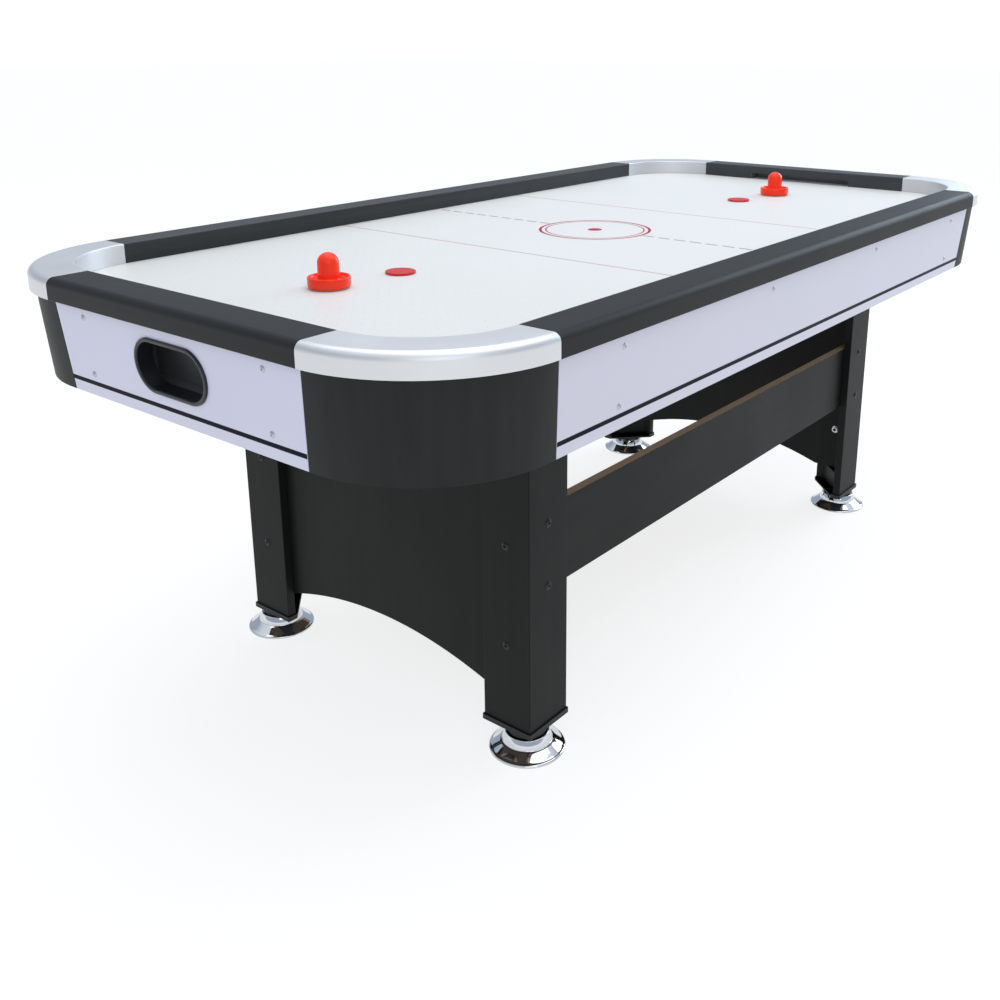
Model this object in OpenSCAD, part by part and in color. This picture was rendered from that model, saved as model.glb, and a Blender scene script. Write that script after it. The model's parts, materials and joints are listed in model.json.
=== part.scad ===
// Air hockey table: a free-standing games table with an air-cushion
// playfield, rounded silver corners and a knock-down leg frame.
// X runs along the table, Y across it, Z up; the floor is z = 0.

/* [Overall] */
// Overall length over the end rails
table_l = 2134; // [2034:2:2234]
// Overall width over the long rails
table_w = 1080; // [1040:2:1180]
// Height of the rail tops above the floor
table_h = 813; // [773:1:853]

/* [Rails and corners] */
// Width of a rail seen from above
rail_w = 73; // [60:1:80]
// Height of a rail above the playfield
rail_h = 36; // [30:1:44]
// Radius of the rounded outer shoulder of a rail
rail_r = 13; // [8:1:20]
// Outer radius of the corner caps, also how far the rails stop short of a corner
corner_r = 239; // [225:1:250]

/* [Cabinet] */
// Height of the slanted aprons
apron_h = 150; // [140:1:160]
// Thickness of the aprons
apron_t = 12; // [9:1:15]
// How far the top of an apron sits inside the rail face
apron_in_top = 10; // [8:1:14]
// How far the bottom of an apron sits inside the rail face
apron_in_bot = 22.5; // [18:0.5:26]
// Thickness of the playfield board
field_t = 12; // [9:1:16]
// Height of the air chamber frame under the playfield
plenum_h = 60; // [50:1:70]

/* [Legs] */
// Distance over the outer faces of the legs along the table
legs_l = 1356; // [1300:2:1400]
// Distance over the outer faces of the legs across the table
legs_w = 726; // [700:2:760]
// Width of each board of an L-shaped leg
leg_w = 101; // [90:1:110]
// Thickness of the leg, panel and stretcher boards
board_t = 18; // [15:1:19]
// Height of the underside of the leg caps above the floor
leg_z = 42.5; // [42:0.5:46]
// Height of the arch of an end panel at its middle
arch_top = 141; // [125:1:160]
// Height of the arch of an end panel at its ends
arch_end = 98; // [97:1:105]
// Bottom edge of a stretcher
stretcher_z = 288; // [250:1:320]
// Height of a stretcher board
stretcher_h = 151; // [130:1:170]

/* [Feet] */
// Radius of a foot where it meets the floor
foot_r = 66.5; // [55:0.5:70]
// Inset of a foot's centre from both outer faces of its leg
foot_in = 33; // [33:0.5:34]
// Radius of the threaded stem of a foot
stem_r = 5; // [5:0.5:5.5]

/* [Goals] */
// Width of the goal mouth
goal_w = 300; // [260:5:320]
// Height of the goal mouth above the playfield
goal_h = 16; // [14:1:18]
// Width of the opening of the puck return pocket
pocket_w = 162; // [160:1:180]
// Height of the opening of the puck return pocket
pocket_h = 74; // [68:1:76]
// Height of the middle of the pocket above the floor
pocket_z = 713; // [710:1:716]

/* [Mallets and pucks] */
// Radius of a mallet base
mallet_r = 36; // [30:1:40]
// Height of a mallet
mallet_h = 60; // [52:1:66]
// Radius of a mallet handle
handle_r = 18.2; // [15:0.1:20]
// Radius of a puck
puck_r = 27; // [24:1:28]
// Thickness of a puck
puck_t = 4; // [3.5:0.5:6]
// Position of the near mallet along and across the table
mallet_near_at = [-732, 18];
// Position of the far mallet along and across the table
mallet_far_at = [722, -62];
// Position of the near puck along and across the table
puck_near_at = [-577, 8];
// Position of the far puck along and across the table
puck_far_at = [571, -39];

/* [Blower] */
// Radius of the blower housing
blower_r = 100; // [95:1:105]
// Number of blades on the impeller
blades = 24; // [16:1:30]

/* [Hidden] */

hx = table_l / 2;
hy = table_w / 2;
zt = table_h;
zf = table_h - rail_h;            // playfield surface and rail underside
zb = zf - apron_h;                // apron bottom
slope = (apron_in_bot - apron_in_top) / apron_h;
tilt = atan(slope);
seam_top = corner_r + 8;          // long apron seam distance from the corner, at the top
seam_bot = corner_r + 18.5;       // and at the bottom
end_seam_top = corner_r + 2.5;    // the same for the end aprons
end_seam_bot = corner_r + 13.5;
seam_gap = 0.6;
zu = zf - field_t;                // underside of the playfield board
plx = 950;                        // plenum half length
ply = 460;                        // plenum half width
plt = 15;                         // plenum board thickness
zp = zu - plenum_h;               // top of the bottom panel
zl = zp - 9;                      // underside of the bottom panel, top of the legs
lx = legs_l / 2;
ly = legs_w / 2;
bolt_z_side = [stretcher_z + 22, stretcher_z + 134];
bolt_z_end = [203, 385];
bolt_x = lx - 50;
bolt_y = ly - 50;
screw_x = [-665, -205, 255, 712];
screw_y = [-220, 220];
screw_z_hi = zf - 20;
screw_z_lo = zf - 112;
screw_z_end = zf - 18;            // upper screws of the end aprons
bz = zl - 80;                     // lowest part of the blower housing
clr = 0.05;

function apron_x(z) = hx - apron_in_top - (zf - z) * slope;
function apron_y(z) = hy - apron_in_top - (zf - z) * slope;
function fx(sx) = sx * (lx - foot_in);
function fy(sy) = sy * (ly - foot_in);

// ---------- rails ----------
module rail_profile() {
    union() {
        square([rail_w - rail_r, rail_h]);
        square([rail_w, rail_h - rail_r]);
        translate([rail_w - rail_r, rail_h - rail_r]) circle(r = rail_r, $fn = 96);
    }
}

module long_rail(s) {
    color([0.20, 0.21, 0.22])
    mirror([0, s < 0 ? 1 : 0, 0])
        translate([-(hx - corner_r), hy - rail_w, zf])
            rotate([90, 0, 90]) linear_extrude(2 * (hx - corner_r)) rail_profile();
}

module end_rail(s) {
    color([0.20, 0.21, 0.22])
    mirror([s < 0 ? 1 : 0, 0, 0]) difference() {
        translate([hx - rail_w, hy - corner_r, zf])
            rotate([90, 0, 0]) linear_extrude(2 * (hy - corner_r)) rail_profile();
        translate([hx - rail_w - 1, -goal_w / 2, zf - 1]) cube([42, goal_w, goal_h + 1]);
    }
}

module corner_cap(sx, sy) {
    color([0.78, 0.79, 0.80])
    mirror([sx < 0 ? 1 : 0, 0, 0]) mirror([0, sy < 0 ? 1 : 0, 0])
        translate([hx - corner_r, hy - corner_r, zf])
            rotate_extrude(angle = 90, $fn = 128) translate([corner_r - rail_w, 0]) rail_profile();
}

// ---------- cabinet ----------
module slant_section(t) {
    polygon([[-apron_in_top, 0], [-apron_in_bot, -apron_h], [-apron_in_bot - t, -apron_h], [-apron_in_top - t, 0]]);
}

module corner_panel(sx, sy) {
    color([0.16, 0.16, 0.16])
    mirror([sx < 0 ? 1 : 0, 0, 0]) mirror([0, sy < 0 ? 1 : 0, 0]) union() {
        translate([hx - corner_r, hy - corner_r, zf])
            rotate_extrude(angle = 90, $fn = 128) translate([corner_r, 0]) slant_section(7);
        // flat edge that meets the end apron
        intersection() {
            translate([hx, hy - corner_r, zf]) rotate([90, 0, 0]) linear_extrude(22) slant_section(7);
            translate([0, hy, zf]) rotate([90, 0, 90]) linear_extrude(hx)
                polygon([[-corner_r, 0], [-end_seam_top, 0], [-end_seam_bot, -apron_h], [-corner_r, -apron_h]]);
        }
        // flat edge that meets the long apron
        intersection() {
            translate([hx - corner_r - 22, hy, zf]) rotate([90, 0, 90]) linear_extrude(22) slant_section(7);
            translate([hx, hy, zf]) rotate([90, 0, 0]) linear_extrude(hy)
                polygon([[-corner_r, 0], [-seam_top, 0], [-seam_bot, -apron_h], [-corner_r, -apron_h]]);
        }
    }
}

module apron_outline(h, top, bot) {
    polygon([[h - top - seam_gap, 0], [-(h - top - seam_gap), 0],
             [-(h - bot - seam_gap), -apron_h], [h - bot - seam_gap, -apron_h]]);
}

// screw shank holes through the long apron, square to its face
module apron_screw_at(side) {
    // side 0: long apron (+Y), side 1: end apron (+X)
    if (side == 0) {
        for (x = screw_x) translate([x, apron_y(screw_z_hi), screw_z_hi]) rotate([-90 - tilt, 0, 0]) children();
        for (x = [screw_x[0], screw_x[3]]) translate([x, apron_y(screw_z_lo), screw_z_lo]) rotate([-90 - tilt, 0, 0]) children();
    } else {
        for (y = screw_y, z = [screw_z_end, screw_z_lo]) translate([apron_x(z), y, z]) rotate([0, 90 + tilt, 0]) children();
    }
}

module long_apron(s) {
    color([0.80, 0.80, 0.88])
    mirror([0, s < 0 ? 1 : 0, 0]) difference() {
        intersection() {
            translate([-hx, hy, zf]) rotate([90, 0, 90]) linear_extrude(2 * hx) slant_section(apron_t);
            translate([0, hy, zf]) rotate([90, 0, 0]) linear_extrude(hy) apron_outline(hx, seam_top, seam_bot);
        }
        apron_screw_at(0) translate([0, 0, -20]) cylinder(r = 2.2, h = 30, $fn = 32);
    }
}

module pocket_frame() {
    translate([apron_x(pocket_z), 0, pocket_z]) rotate([0, tilt, 0]) children();
}

module obround(w, h, x0, x1) {
    translate([x0, 0, 0]) rotate([0, 90, 0]) linear_extrude(x1 - x0) union() {
        square([h, w - h], center = true);
        translate([0, (w - h) / 2]) circle(r = h / 2, $fn = 96);
        translate([0, -(w - h) / 2]) circle(r = h / 2, $fn = 96);
    }
}

module end_apron(s) {
    color([0.80, 0.80, 0.88])
    mirror([s < 0 ? 1 : 0, 0, 0]) difference() {
        intersection() {
            translate([hx, hy, zf]) rotate([90, 0, 0]) linear_extrude(2 * hy) slant_section(apron_t);
            translate([0, 0, zf]) rotate([90, 0, 90]) linear_extrude(hx) apron_outline(hy, end_seam_top, end_seam_bot);
        }
        pocket_frame() obround(pocket_w + 5, pocket_h + 5, -30, 10);
        apron_screw_at(1) translate([0, 0, -20]) cylinder(r = 2.2, h = 30, $fn = 32);
    }
}

module goal_box(s) {
    color([0.08, 0.08, 0.09])
    mirror([s < 0 ? 1 : 0, 0, 0]) difference() {
        union() {
            pocket_frame() obround(pocket_w + 14, pocket_h + 14, 0.02, 4);
            pocket_frame() obround(pocket_w + 4.6, pocket_h + 4.6, -24, 2);
            translate([972, -(goal_w / 2 + 8), 660]) cube([62.5, goal_w + 16, zu - 660]);
        }
        pocket_frame() obround(pocket_w, pocket_h, -30, 10);
        translate([975, -(goal_w / 2 + 5), 663]) cube([56.5, goal_w + 10, 120]);
    }
}

module playfield() {
    color([0.91, 0.93, 0.94])
    difference() {
        translate([0, 0, zu]) linear_extrude(field_t) union() {
            square([2 * (hx - corner_r), 2 * (hy - 25)], center = true);
            square([2 * (hx - 25), 2 * (hy - corner_r)], center = true);
            for (sx = [-1, 1], sy = [-1, 1])
                translate([sx * (hx - corner_r), sy * (hy - corner_r)]) circle(r = corner_r - 25, $fn = 128);
        }
        for (s = [-1, 1]) translate([s > 0 ? 1000 : -1030, -goal_w / 2, zu - 1]) cube([30, goal_w, field_t + 2]);
    }
}

module plenum_side_boards() {
    color([0.72, 0.60, 0.42])
    for (s = [-1, 1]) translate([-plx, s > 0 ? ply - plt : -ply, zp]) cube([2 * plx, plt, plenum_h]);
}

module plenum_end_boards() {
    color([0.72, 0.60, 0.42])
    for (s = [-1, 1]) translate([s > 0 ? plx - plt : -plx, -(ply - plt), zp]) cube([plt, 2 * (ply - plt), plenum_h]);
}

module plenum_ribs() {
    color([0.72, 0.60, 0.42])
    for (x = [-660, -330, 330, 660]) difference() {
        translate([x - 9, -(ply - plt), zp]) cube([18, 2 * (ply - plt), plenum_h]);
        for (y = [-300, -100, 100, 300]) translate([x - 10, y, zp + plenum_h / 2]) rotate([0, 90, 0]) cylinder(r = 20, h = 20, $fn = 64);
    }
}

module bottom_panel() {
    color([0.55, 0.45, 0.32])
    difference() {
        translate([-plx, -ply, zl]) cube([2 * plx, 2 * ply, 9]);
        translate([0, 0, zl - 1]) cylinder(r = blower_r - 12, h = 12, $fn = 96);
        for (sx = [-1, 1], sy = [-1, 1]) translate([sx * 98, sy * 98, zl - 1]) cylinder(r = 2.2, h = 12, $fn = 32);
    }
}

// glue blocks behind the aprons, shaped to the slant
module block_long(x, w) {
    translate([x - w / 2, hy, zf]) rotate([90, 0, 90]) linear_extrude(w)
        polygon([[-apron_in_top - apron_t - slope * field_t, -field_t], [-(hy - 475), -field_t],
                 [-(hy - 475), -apron_h + 12], [-apron_in_bot - apron_t + slope * 12, -apron_h + 12]]);
}
module block_end(y, w) {
    translate([hx, y + w / 2, zf]) rotate([90, 0, 0]) linear_extrude(w)
        polygon([[-apron_in_top - apron_t - slope * field_t, -field_t], [-(hx - 995), -field_t],
                 [-(hx - 995), -apron_h + 12], [-apron_in_bot - apron_t + slope * 12, -apron_h + 12]]);
}
module apron_blocks() {
    color([0.74, 0.62, 0.44])
    for (s = [0, 1]) {
        mirror([0, s, 0]) difference() {
            union() { for (x = [-795, screw_x[0], screw_x[1], screw_x[2], screw_x[3], 795]) block_long(x, 36); }
            apron_screw_at(0) translate([0, 0, -40]) cylinder(r = 2.2, h = 50, $fn = 32);
        }
        mirror([s, 0, 0]) difference() {
            union() { for (y = [-264, screw_y[0], screw_y[1], 264]) block_end(y, 36); }
            apron_screw_at(1) translate([0, 0, -40]) cylinder(r = 2.2, h = 50, $fn = 32);
        }
    }
}

// ---------- leg frame ----------
module at_corner(sx, sy) {
    mirror([sx < 0 ? 1 : 0, 0, 0]) mirror([0, sy < 0 ? 1 : 0, 0]) children();
}

module leg(sx, sy) {
    color([0.17, 0.17, 0.17])
    at_corner(sx, sy) difference() {
        translate([0, 0, leg_z + 4]) linear_extrude(zl - leg_z - 4) union() {
            translate([lx - board_t, ly - leg_w]) square([board_t, leg_w]);
            translate([lx - leg_w, ly - board_t]) square([leg_w, board_t]);
        }
        for (z = bolt_z_side) translate([bolt_x, ly + 1, z]) rotate([90, 0, 0]) cylinder(r = 4.2, h = board_t + 2, $fn = 48);
        for (z = bolt_z_end) translate([lx - board_t - 1, bolt_y, z]) rotate([0, 90, 0]) cylinder(r = 4.2, h = board_t + 2, $fn = 48);
    }
}

module cap_outline(d) {
    polygon([[lx + d, ly + d], [lx - leg_w - d, ly + d], [lx - leg_w - d, ly - board_t - d * 0.4],
             [lx - board_t - d * 0.4, ly - leg_w - d], [lx + d, ly - leg_w - d]]);
}

module leg_caps() {
    color([0.10, 0.10, 0.10])
    for (sx = [-1, 1], sy = [-1, 1]) at_corner(sx, sy) difference() {
        union() {
            translate([0, 0, leg_z]) linear_extrude(4) cap_outline(3);
            // rim that stands round the foot of the two boards
            translate([0, 0, leg_z + 3]) linear_extrude(7) difference() {
                cap_outline(3);
                translate([lx - leg_w, ly - leg_w]) square([leg_w, leg_w]);
            }
            translate([lx - foot_in, ly - foot_in, 35]) cylinder(r = 34, h = leg_z - 34, $fn = 96);
        }
        translate([lx - foot_in, ly - foot_in, 30]) cylinder(r = 9, h = 30, $fn = 64);
    }
}

module leg_blocks() {
    color([0.15, 0.15, 0.15])
    for (sx = [-1, 1], sy = [-1, 1]) at_corner(sx, sy) difference() {
        translate([0, 0, leg_z + 4]) linear_extrude(arch_end - leg_z - 5)
            polygon([[lx - board_t, ly - board_t], [lx - board_t - 62, ly - board_t], [lx - board_t, ly - board_t - 62]]);
        translate([lx - foot_in, ly - foot_in, 40]) cylinder(r = 6.6, h = 80, $fn = 64);
        translate([lx - foot_in, ly - foot_in, 40]) cylinder(r = 11.1, h = leg_z + 4 + 1.6 - 40, $fn = 64);
    }
}

module leveler_nuts() {
    color([0.70, 0.70, 0.68])
    for (sx = [-1, 1], sy = [-1, 1]) translate([fx(sx), fy(sy), leg_z + 4]) difference() {
        union() {
            cylinder(r = 11, h = 1.6, $fn = 64);
            cylinder(r = 6.5, h = 14, $fn = 64);
        }
        translate([0, 0, -1]) cylinder(r = stem_r + clr, h = 16, $fn = 64);
    }
}

module leveler(sx, sy) {
    color([0.85, 0.86, 0.88])
    translate([fx(sx), fy(sy), 0]) union() {
        rotate_extrude($fn = 128) polygon([[0, 0], [foot_r - 2, 0], [foot_r, 1.4], [foot_r, 3.6], [foot_r - 1.4, 5.2],
            [foot_r - 5, 7], [58, 9.6], [53.5, 12.6], [49, 15.2], [45.5, 17], [43.6, 17.8], [43, 19.2],
            [42.6, 22], [41.4, 26], [39.8, 29.5], [38.6, 32], [38, 33.4], [37, 34.2], [36, 33.6], [35.4, 32], [35.2, 30], [0, 30]]);
        translate([0, 0, 29]) cylinder(r = stem_r, h = 56, $fn = 64);
    }
}

module end_panel(s) {
    a = ly - leg_w;
    rise = arch_top - arch_end;
    rad = (a * a + rise * rise) / (2 * rise);
    color([0.17, 0.17, 0.17])
    mirror([s < 0 ? 1 : 0, 0, 0]) difference() {
        translate([lx - 2 * board_t, -(ly - board_t), arch_end]) cube([board_t, 2 * (ly - board_t), zl - arch_end]);
        translate([lx - 2 * board_t - 1, 0, arch_top - rad]) rotate([0, 90, 0]) cylinder(r = rad, h = board_t + 2, $fn = 256);
        for (sy = [-1, 1], z = bolt_z_end) translate([lx - 2 * board_t - 1, sy * bolt_y, z]) rotate([0, 90, 0]) cylinder(r = 4.2, h = board_t + 2, $fn = 48);
    }
}

module stretcher(s) {
    color([0.17, 0.17, 0.17])
    mirror([0, s < 0 ? 1 : 0, 0]) difference() {
        translate([-(lx - 2 * board_t), ly - 2 * board_t, stretcher_z]) cube([2 * (lx - 2 * board_t), board_t, stretcher_h]);
        for (sx = [-1, 1], z = bolt_z_side) translate([sx * bolt_x, ly - board_t + 1, z]) rotate([90, 0, 0]) cylinder(r = 4.2, h = board_t + 2, $fn = 48);
    }
}

module leg_brackets() {
    color([0.60, 0.61, 0.62])
    for (sx = [-1, 1], y = [-200, 200]) mirror([sx < 0 ? 1 : 0, 0, 0]) union() {
        translate([lx - 2 * board_t - 2, y - 30, zl - 40]) cube([2, 60, 40]);
        translate([lx - 2 * board_t - 40, y - 30, zl - 2]) cube([40, 60, 2]);
    }
}

module bolt(len) {
    // dome head outside, shank running down -Z
    union() {
        intersection() {
            translate([0, 0, -6.5]) sphere(r = 10, $fn = 64);
            translate([0, 0, 0]) cylinder(r = 7.5, h = 5, $fn = 64);
        }
        translate([0, 0, -len]) cylinder(r = 4, h = len + 0.5, $fn = 48);
    }
}

module leg_bolts() {
    color([0.12, 0.12, 0.13])
    for (sx = [-1, 1], sy = [-1, 1]) at_corner(sx, sy) {
        for (z = bolt_z_side) translate([bolt_x, ly, z]) rotate([-90, 0, 0]) bolt(2 * board_t + 9);
        for (z = bolt_z_end) translate([lx, bolt_y, z]) rotate([0, 90, 0]) bolt(2 * board_t + 9);
    }
}

module nut() {
    union() {
        difference() { cylinder(r = 9, h = 1.5, $fn = 48); translate([0, 0, -1]) cylinder(r = 4.03, h = 4, $fn = 48); }
        translate([0, 0, 1.5]) difference() { cylinder(r = 7.5, h = 6, $fn = 6); translate([0, 0, -1]) cylinder(r = 4.03, h = 8, $fn = 48); }
    }
}

module leg_nuts() {
    color([0.65, 0.66, 0.67])
    for (sx = [-1, 1], sy = [-1, 1]) at_corner(sx, sy) {
        for (z = bolt_z_side) translate([bolt_x, ly - 2 * board_t, z]) rotate([90, 0, 0]) nut();
        for (z = bolt_z_end) translate([lx - 2 * board_t, bolt_y, z]) rotate([0, -90, 0]) nut();
    }
}

module apron_screw() {
    union() {
        intersection() {
            translate([0, 0, -4.2]) sphere(r = 7, $fn = 48);
            cylinder(r = 5.2, h = 4, $fn = 48);
        }
        translate([0, 0, -34]) cylinder(r = 2.1, h = 34.5, $fn = 32);
    }
}

module apron_screws() {
    color([0.62, 0.63, 0.66])
    for (s = [0, 1]) {
        mirror([0, s, 0]) apron_screw_at(0) apron_screw();
        mirror([s, 0, 0]) apron_screw_at(1) apron_screw();
    }
}

// ---------- blower ----------
module blower_housing() {
    color([0.10, 0.10, 0.11])
    difference() {
        union() {
            translate([-110, -110, zl - 4]) cube([220, 220, 4]);
            translate([0, 0, bz]) cylinder(r = blower_r, h = zl - bz, $fn = 128);
        }
        translate([0, 0, bz + 4]) cylinder(r = blower_r - 3, h = 200, $fn = 128);
        translate([0, 0, bz - 1]) cylinder(r = 56, h = 10, $fn = 96);
        for (sx = [-1, 1], sy = [-1, 1]) translate([sx * 98, sy * 98, zl - 6]) cylinder(r = 2.4, h = 10, $fn = 32);
    }
}

module blower_screws() {
    color([0.62, 0.63, 0.66])
    for (sx = [-1, 1], sy = [-1, 1]) translate([sx * 98, sy * 98, zl - 4]) union() {
        translate([0, 0, -2.6]) cylinder(r = 4.5, h = 2.6, $fn = 48);
        translate([0, 0, -0.5]) cylinder(r = 2.1, h = 13, $fn = 32);
    }
}

module fan_motor() {
    color([0.30, 0.31, 0.33])
    difference() {
        union() {
            translate([0, 0, zl - 36]) cylinder(r = 34, h = 32, $fn = 96);
            translate([0, 0, zl - 40]) cylinder(r = 12, h = 5, $fn = 64);
            // three arms that hang the motor from the housing wall
            for (a = [0, 120, 240]) rotate([0, 0, a]) translate([30, -6, zl - 14]) cube([blower_r - 3 - 30 - 0.2, 12, 8]);
        }
        translate([0, 0, zl - 42]) cylinder(r = 4 + clr, h = 32, $fn = 64);
    }
}

module fan_shaft() {
    color([0.75, 0.76, 0.78])
    translate([0, 0, bz + 14]) cylinder(r = 4, h = zl - 12 - bz - 14, $fn = 64);
}

module impeller() {
    color([0.16, 0.17, 0.19])
    difference() {
        union() {
            translate([0, 0, bz + 34]) cylinder(r = 82, h = 3, $fn = 128);
            translate([0, 0, bz + 18]) cylinder(r = 12, h = 18, $fn = 64);
            difference() {
                translate([0, 0, bz + 8]) cylinder(r = 82, h = 4, $fn = 128);
                translate([0, 0, bz + 7]) cylinder(r = 64, h = 6, $fn = 128);
            }
            for (i = [0 : blades - 1]) rotate([0, 0, i * 360 / blades]) translate([73, 0, bz + 11])
                rotate([0, 0, 32]) translate([-8, -0.9, 0]) cube([16, 1.8, 24]);
        }
        translate([0, 0, bz + 10]) cylinder(r = 4.02, h = 40, $fn = 64);
    }
}

module intake_grille() {
    color([0.20, 0.20, 0.21])
    translate([0, 0, bz - 3]) difference() {
        cylinder(r = 64, h = 3, $fn = 96);
        for (r = [10, 22, 34, 46]) difference() {
            translate([0, 0, -1]) cylinder(r = r + 9, h = 5, $fn = 96);
            translate([0, 0, -2]) cylinder(r = r, h = 7, $fn = 96);
            for (a = [0, 60, 120]) rotate([0, 0, a]) translate([-70, -1.5, -2]) cube([140, 3, 7]);
        }
    }
}

// ---------- switch and inlet ----------
sbx = 150;     // centre of the switch box
sbz = zl - 38; // its lower face
module switch_box() {
    color([0.11, 0.11, 0.12])
    difference() {
        translate([sbx - 30, -36, sbz]) cube([62, 72, 38]);
        translate([sbx - 27.5, -33.5, sbz + 3]) cube([57, 67, 40]);
        // rocker opening in the lower face
        translate([sbx - 8.5, -6, sbz - 1]) cube([17, 12, 6]);
        // bearing bores for the rocker pins
        translate([sbx, -9, sbz + 5.5]) rotate([-90, 0, 0]) cylinder(r = 1.55, h = 18, $fn = 48);
        // inlet opening in the side
        translate([sbx + 25, -12, sbz + 11]) cube([12, 24, 17]);
    }
    // cheeks that carry the rocker pins
    color([0.11, 0.11, 0.12])
    for (s = [-1, 1]) difference() {
        translate([sbx - 5, s > 0 ? 6 : -9, sbz + 2.5]) cube([10, 3, 6.5]);
        translate([sbx, -10, sbz + 5.5]) rotate([-90, 0, 0]) cylinder(r = 1.55, h = 20, $fn = 48);
    }
}

module rocker_switch() {
    color([0.75, 0.10, 0.08])
    translate([sbx, 0, sbz + 5.5]) rotate([0, 9, 0]) union() {
        intersection() {
            translate([-7.6, -5.6, -6.4]) cube([15.2, 11.2, 9.4]);
            rotate([90, 0, 0]) translate([0, 0, -10]) linear_extrude(20)
                polygon([[-7.6, 3], [7.6, 3], [7.6, -5.6], [0, -4.2], [-7.6, -5.6]]);
        }
        translate([0, -8.6, 0]) rotate([-90, 0, 0]) cylinder(r = 1.5, h = 17.2, $fn = 48);
    }
}

module power_inlet() {
    color([0.06, 0.06, 0.06])
    difference() {
        union() {
            translate([sbx + 14, -11.8, sbz + 11.2]) cube([19, 23.6, 16.6]);
            translate([sbx + 32.02, -15, sbz + 8]) cube([2.5, 30, 23]);
        }
        translate([sbx + 18, -9.5, sbz + 13.5]) cube([20, 19, 12]);
    }
    color([0.80, 0.72, 0.45])
    for (y = [-5, 5]) translate([sbx + 17, y - 1, sbz + 18]) cube([13, 2, 3]);
}

// ---------- mallets and pucks ----------
module mallet(p) {
    color([0.85, 0.14, 0.10])
    translate([p[0], p[1], zf + 1.5]) rotate_extrude($fn = 96)
        polygon(concat([[0, 0], [mallet_r - 4, 0], [mallet_r - 1.6, 0.9], [mallet_r - 0.4, 2.6], [mallet_r, 5],
            [mallet_r, 16.4], [mallet_r - 0.5, 18], [mallet_r - 1.7, 18.6], [mallet_r - 3, 18.2],
            [mallet_r - 3.8, 16.6], [mallet_r - 4.6, 13.8], [mallet_r - 6.5, 12.8], [handle_r + 2.2, 12.6], [handle_r + 0.6, 13.4], [handle_r, 15.4]],
            [for (a = [0 : 7.5 : 82.5]) [handle_r * cos(a), mallet_h - 1.5 - 18 + 18 * sin(a)]],
            [[0, mallet_h - 1.5]]));
}

module felt(p) {
    color([0.90, 0.89, 0.86])
    translate([p[0], p[1], zf + 0.3]) cylinder(r = mallet_r - 5, h = 1.2, $fn = 96);
}

module puck(p) {
    color([0.85, 0.20, 0.22])
    translate([p[0], p[1], zf + 0.3]) rotate_extrude($fn = 96)
        polygon([[0, 0], [puck_r - 0.6, 0], [puck_r, 0.7], [puck_r, puck_t - 0.7], [puck_r - 0.6, puck_t], [0, puck_t]]);
}

playfield();
long_rail(-1);  // long_rail_right
long_rail(1);  // long_rail_left
end_rail(-1);  // end_rail_near
end_rail(1);  // end_rail_far
corner_cap(-1, -1);  // corner_cap_near_right
corner_cap(-1, 1);  // corner_cap_near_left
corner_cap(1, -1);  // corner_cap_far_right
corner_cap(1, 1);  // corner_cap_far_left
corner_panel(-1, -1);  // corner_panel_near_right
corner_panel(-1, 1);  // corner_panel_near_left
corner_panel(1, -1);  // corner_panel_far_right
corner_panel(1, 1);  // corner_panel_far_left
long_apron(-1);  // long_apron_right
long_apron(1);  // long_apron_left
end_apron(-1);  // end_apron_near
end_apron(1);  // end_apron_far
goal_box(-1);  // goal_box_near
goal_box(1);  // goal_box_far
plenum_side_boards();
plenum_end_boards();
plenum_ribs();
bottom_panel();
apron_blocks();
leg(-1, -1);  // leg_near_right
leg(-1, 1);  // leg_near_left
leg(1, -1);  // leg_far_right
leg(1, 1);  // leg_far_left
leg_caps();
leg_blocks();
leveler_nuts();
leveler(-1, -1);  // leveler_near_right
leveler(-1, 1);  // leveler_near_left
leveler(1, -1);  // leveler_far_right
leveler(1, 1);  // leveler_far_left
end_panel(-1);  // end_panel_near
end_panel(1);  // end_panel_far
stretcher(-1);  // stretcher_right
stretcher(1);  // stretcher_left
leg_brackets();
apron_screws();
leg_bolts();
leg_nuts();
blower_housing();
blower_screws();
fan_motor();
fan_shaft();
impeller();
intake_grille();
switch_box();
rocker_switch();
power_inlet();
mallet(mallet_near_at);  // mallet_near
felt(mallet_near_at);  // mallet_near_felt
mallet(mallet_far_at);  // mallet_far
felt(mallet_far_at);  // mallet_far_felt
puck(puck_near_at);  // puck_near
puck(puck_far_at);  // puck_far
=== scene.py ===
import json
import math

import bpy
import bmesh
from mathutils import Matrix, Vector
from mathutils.geometry import tessellate_polygon

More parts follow.
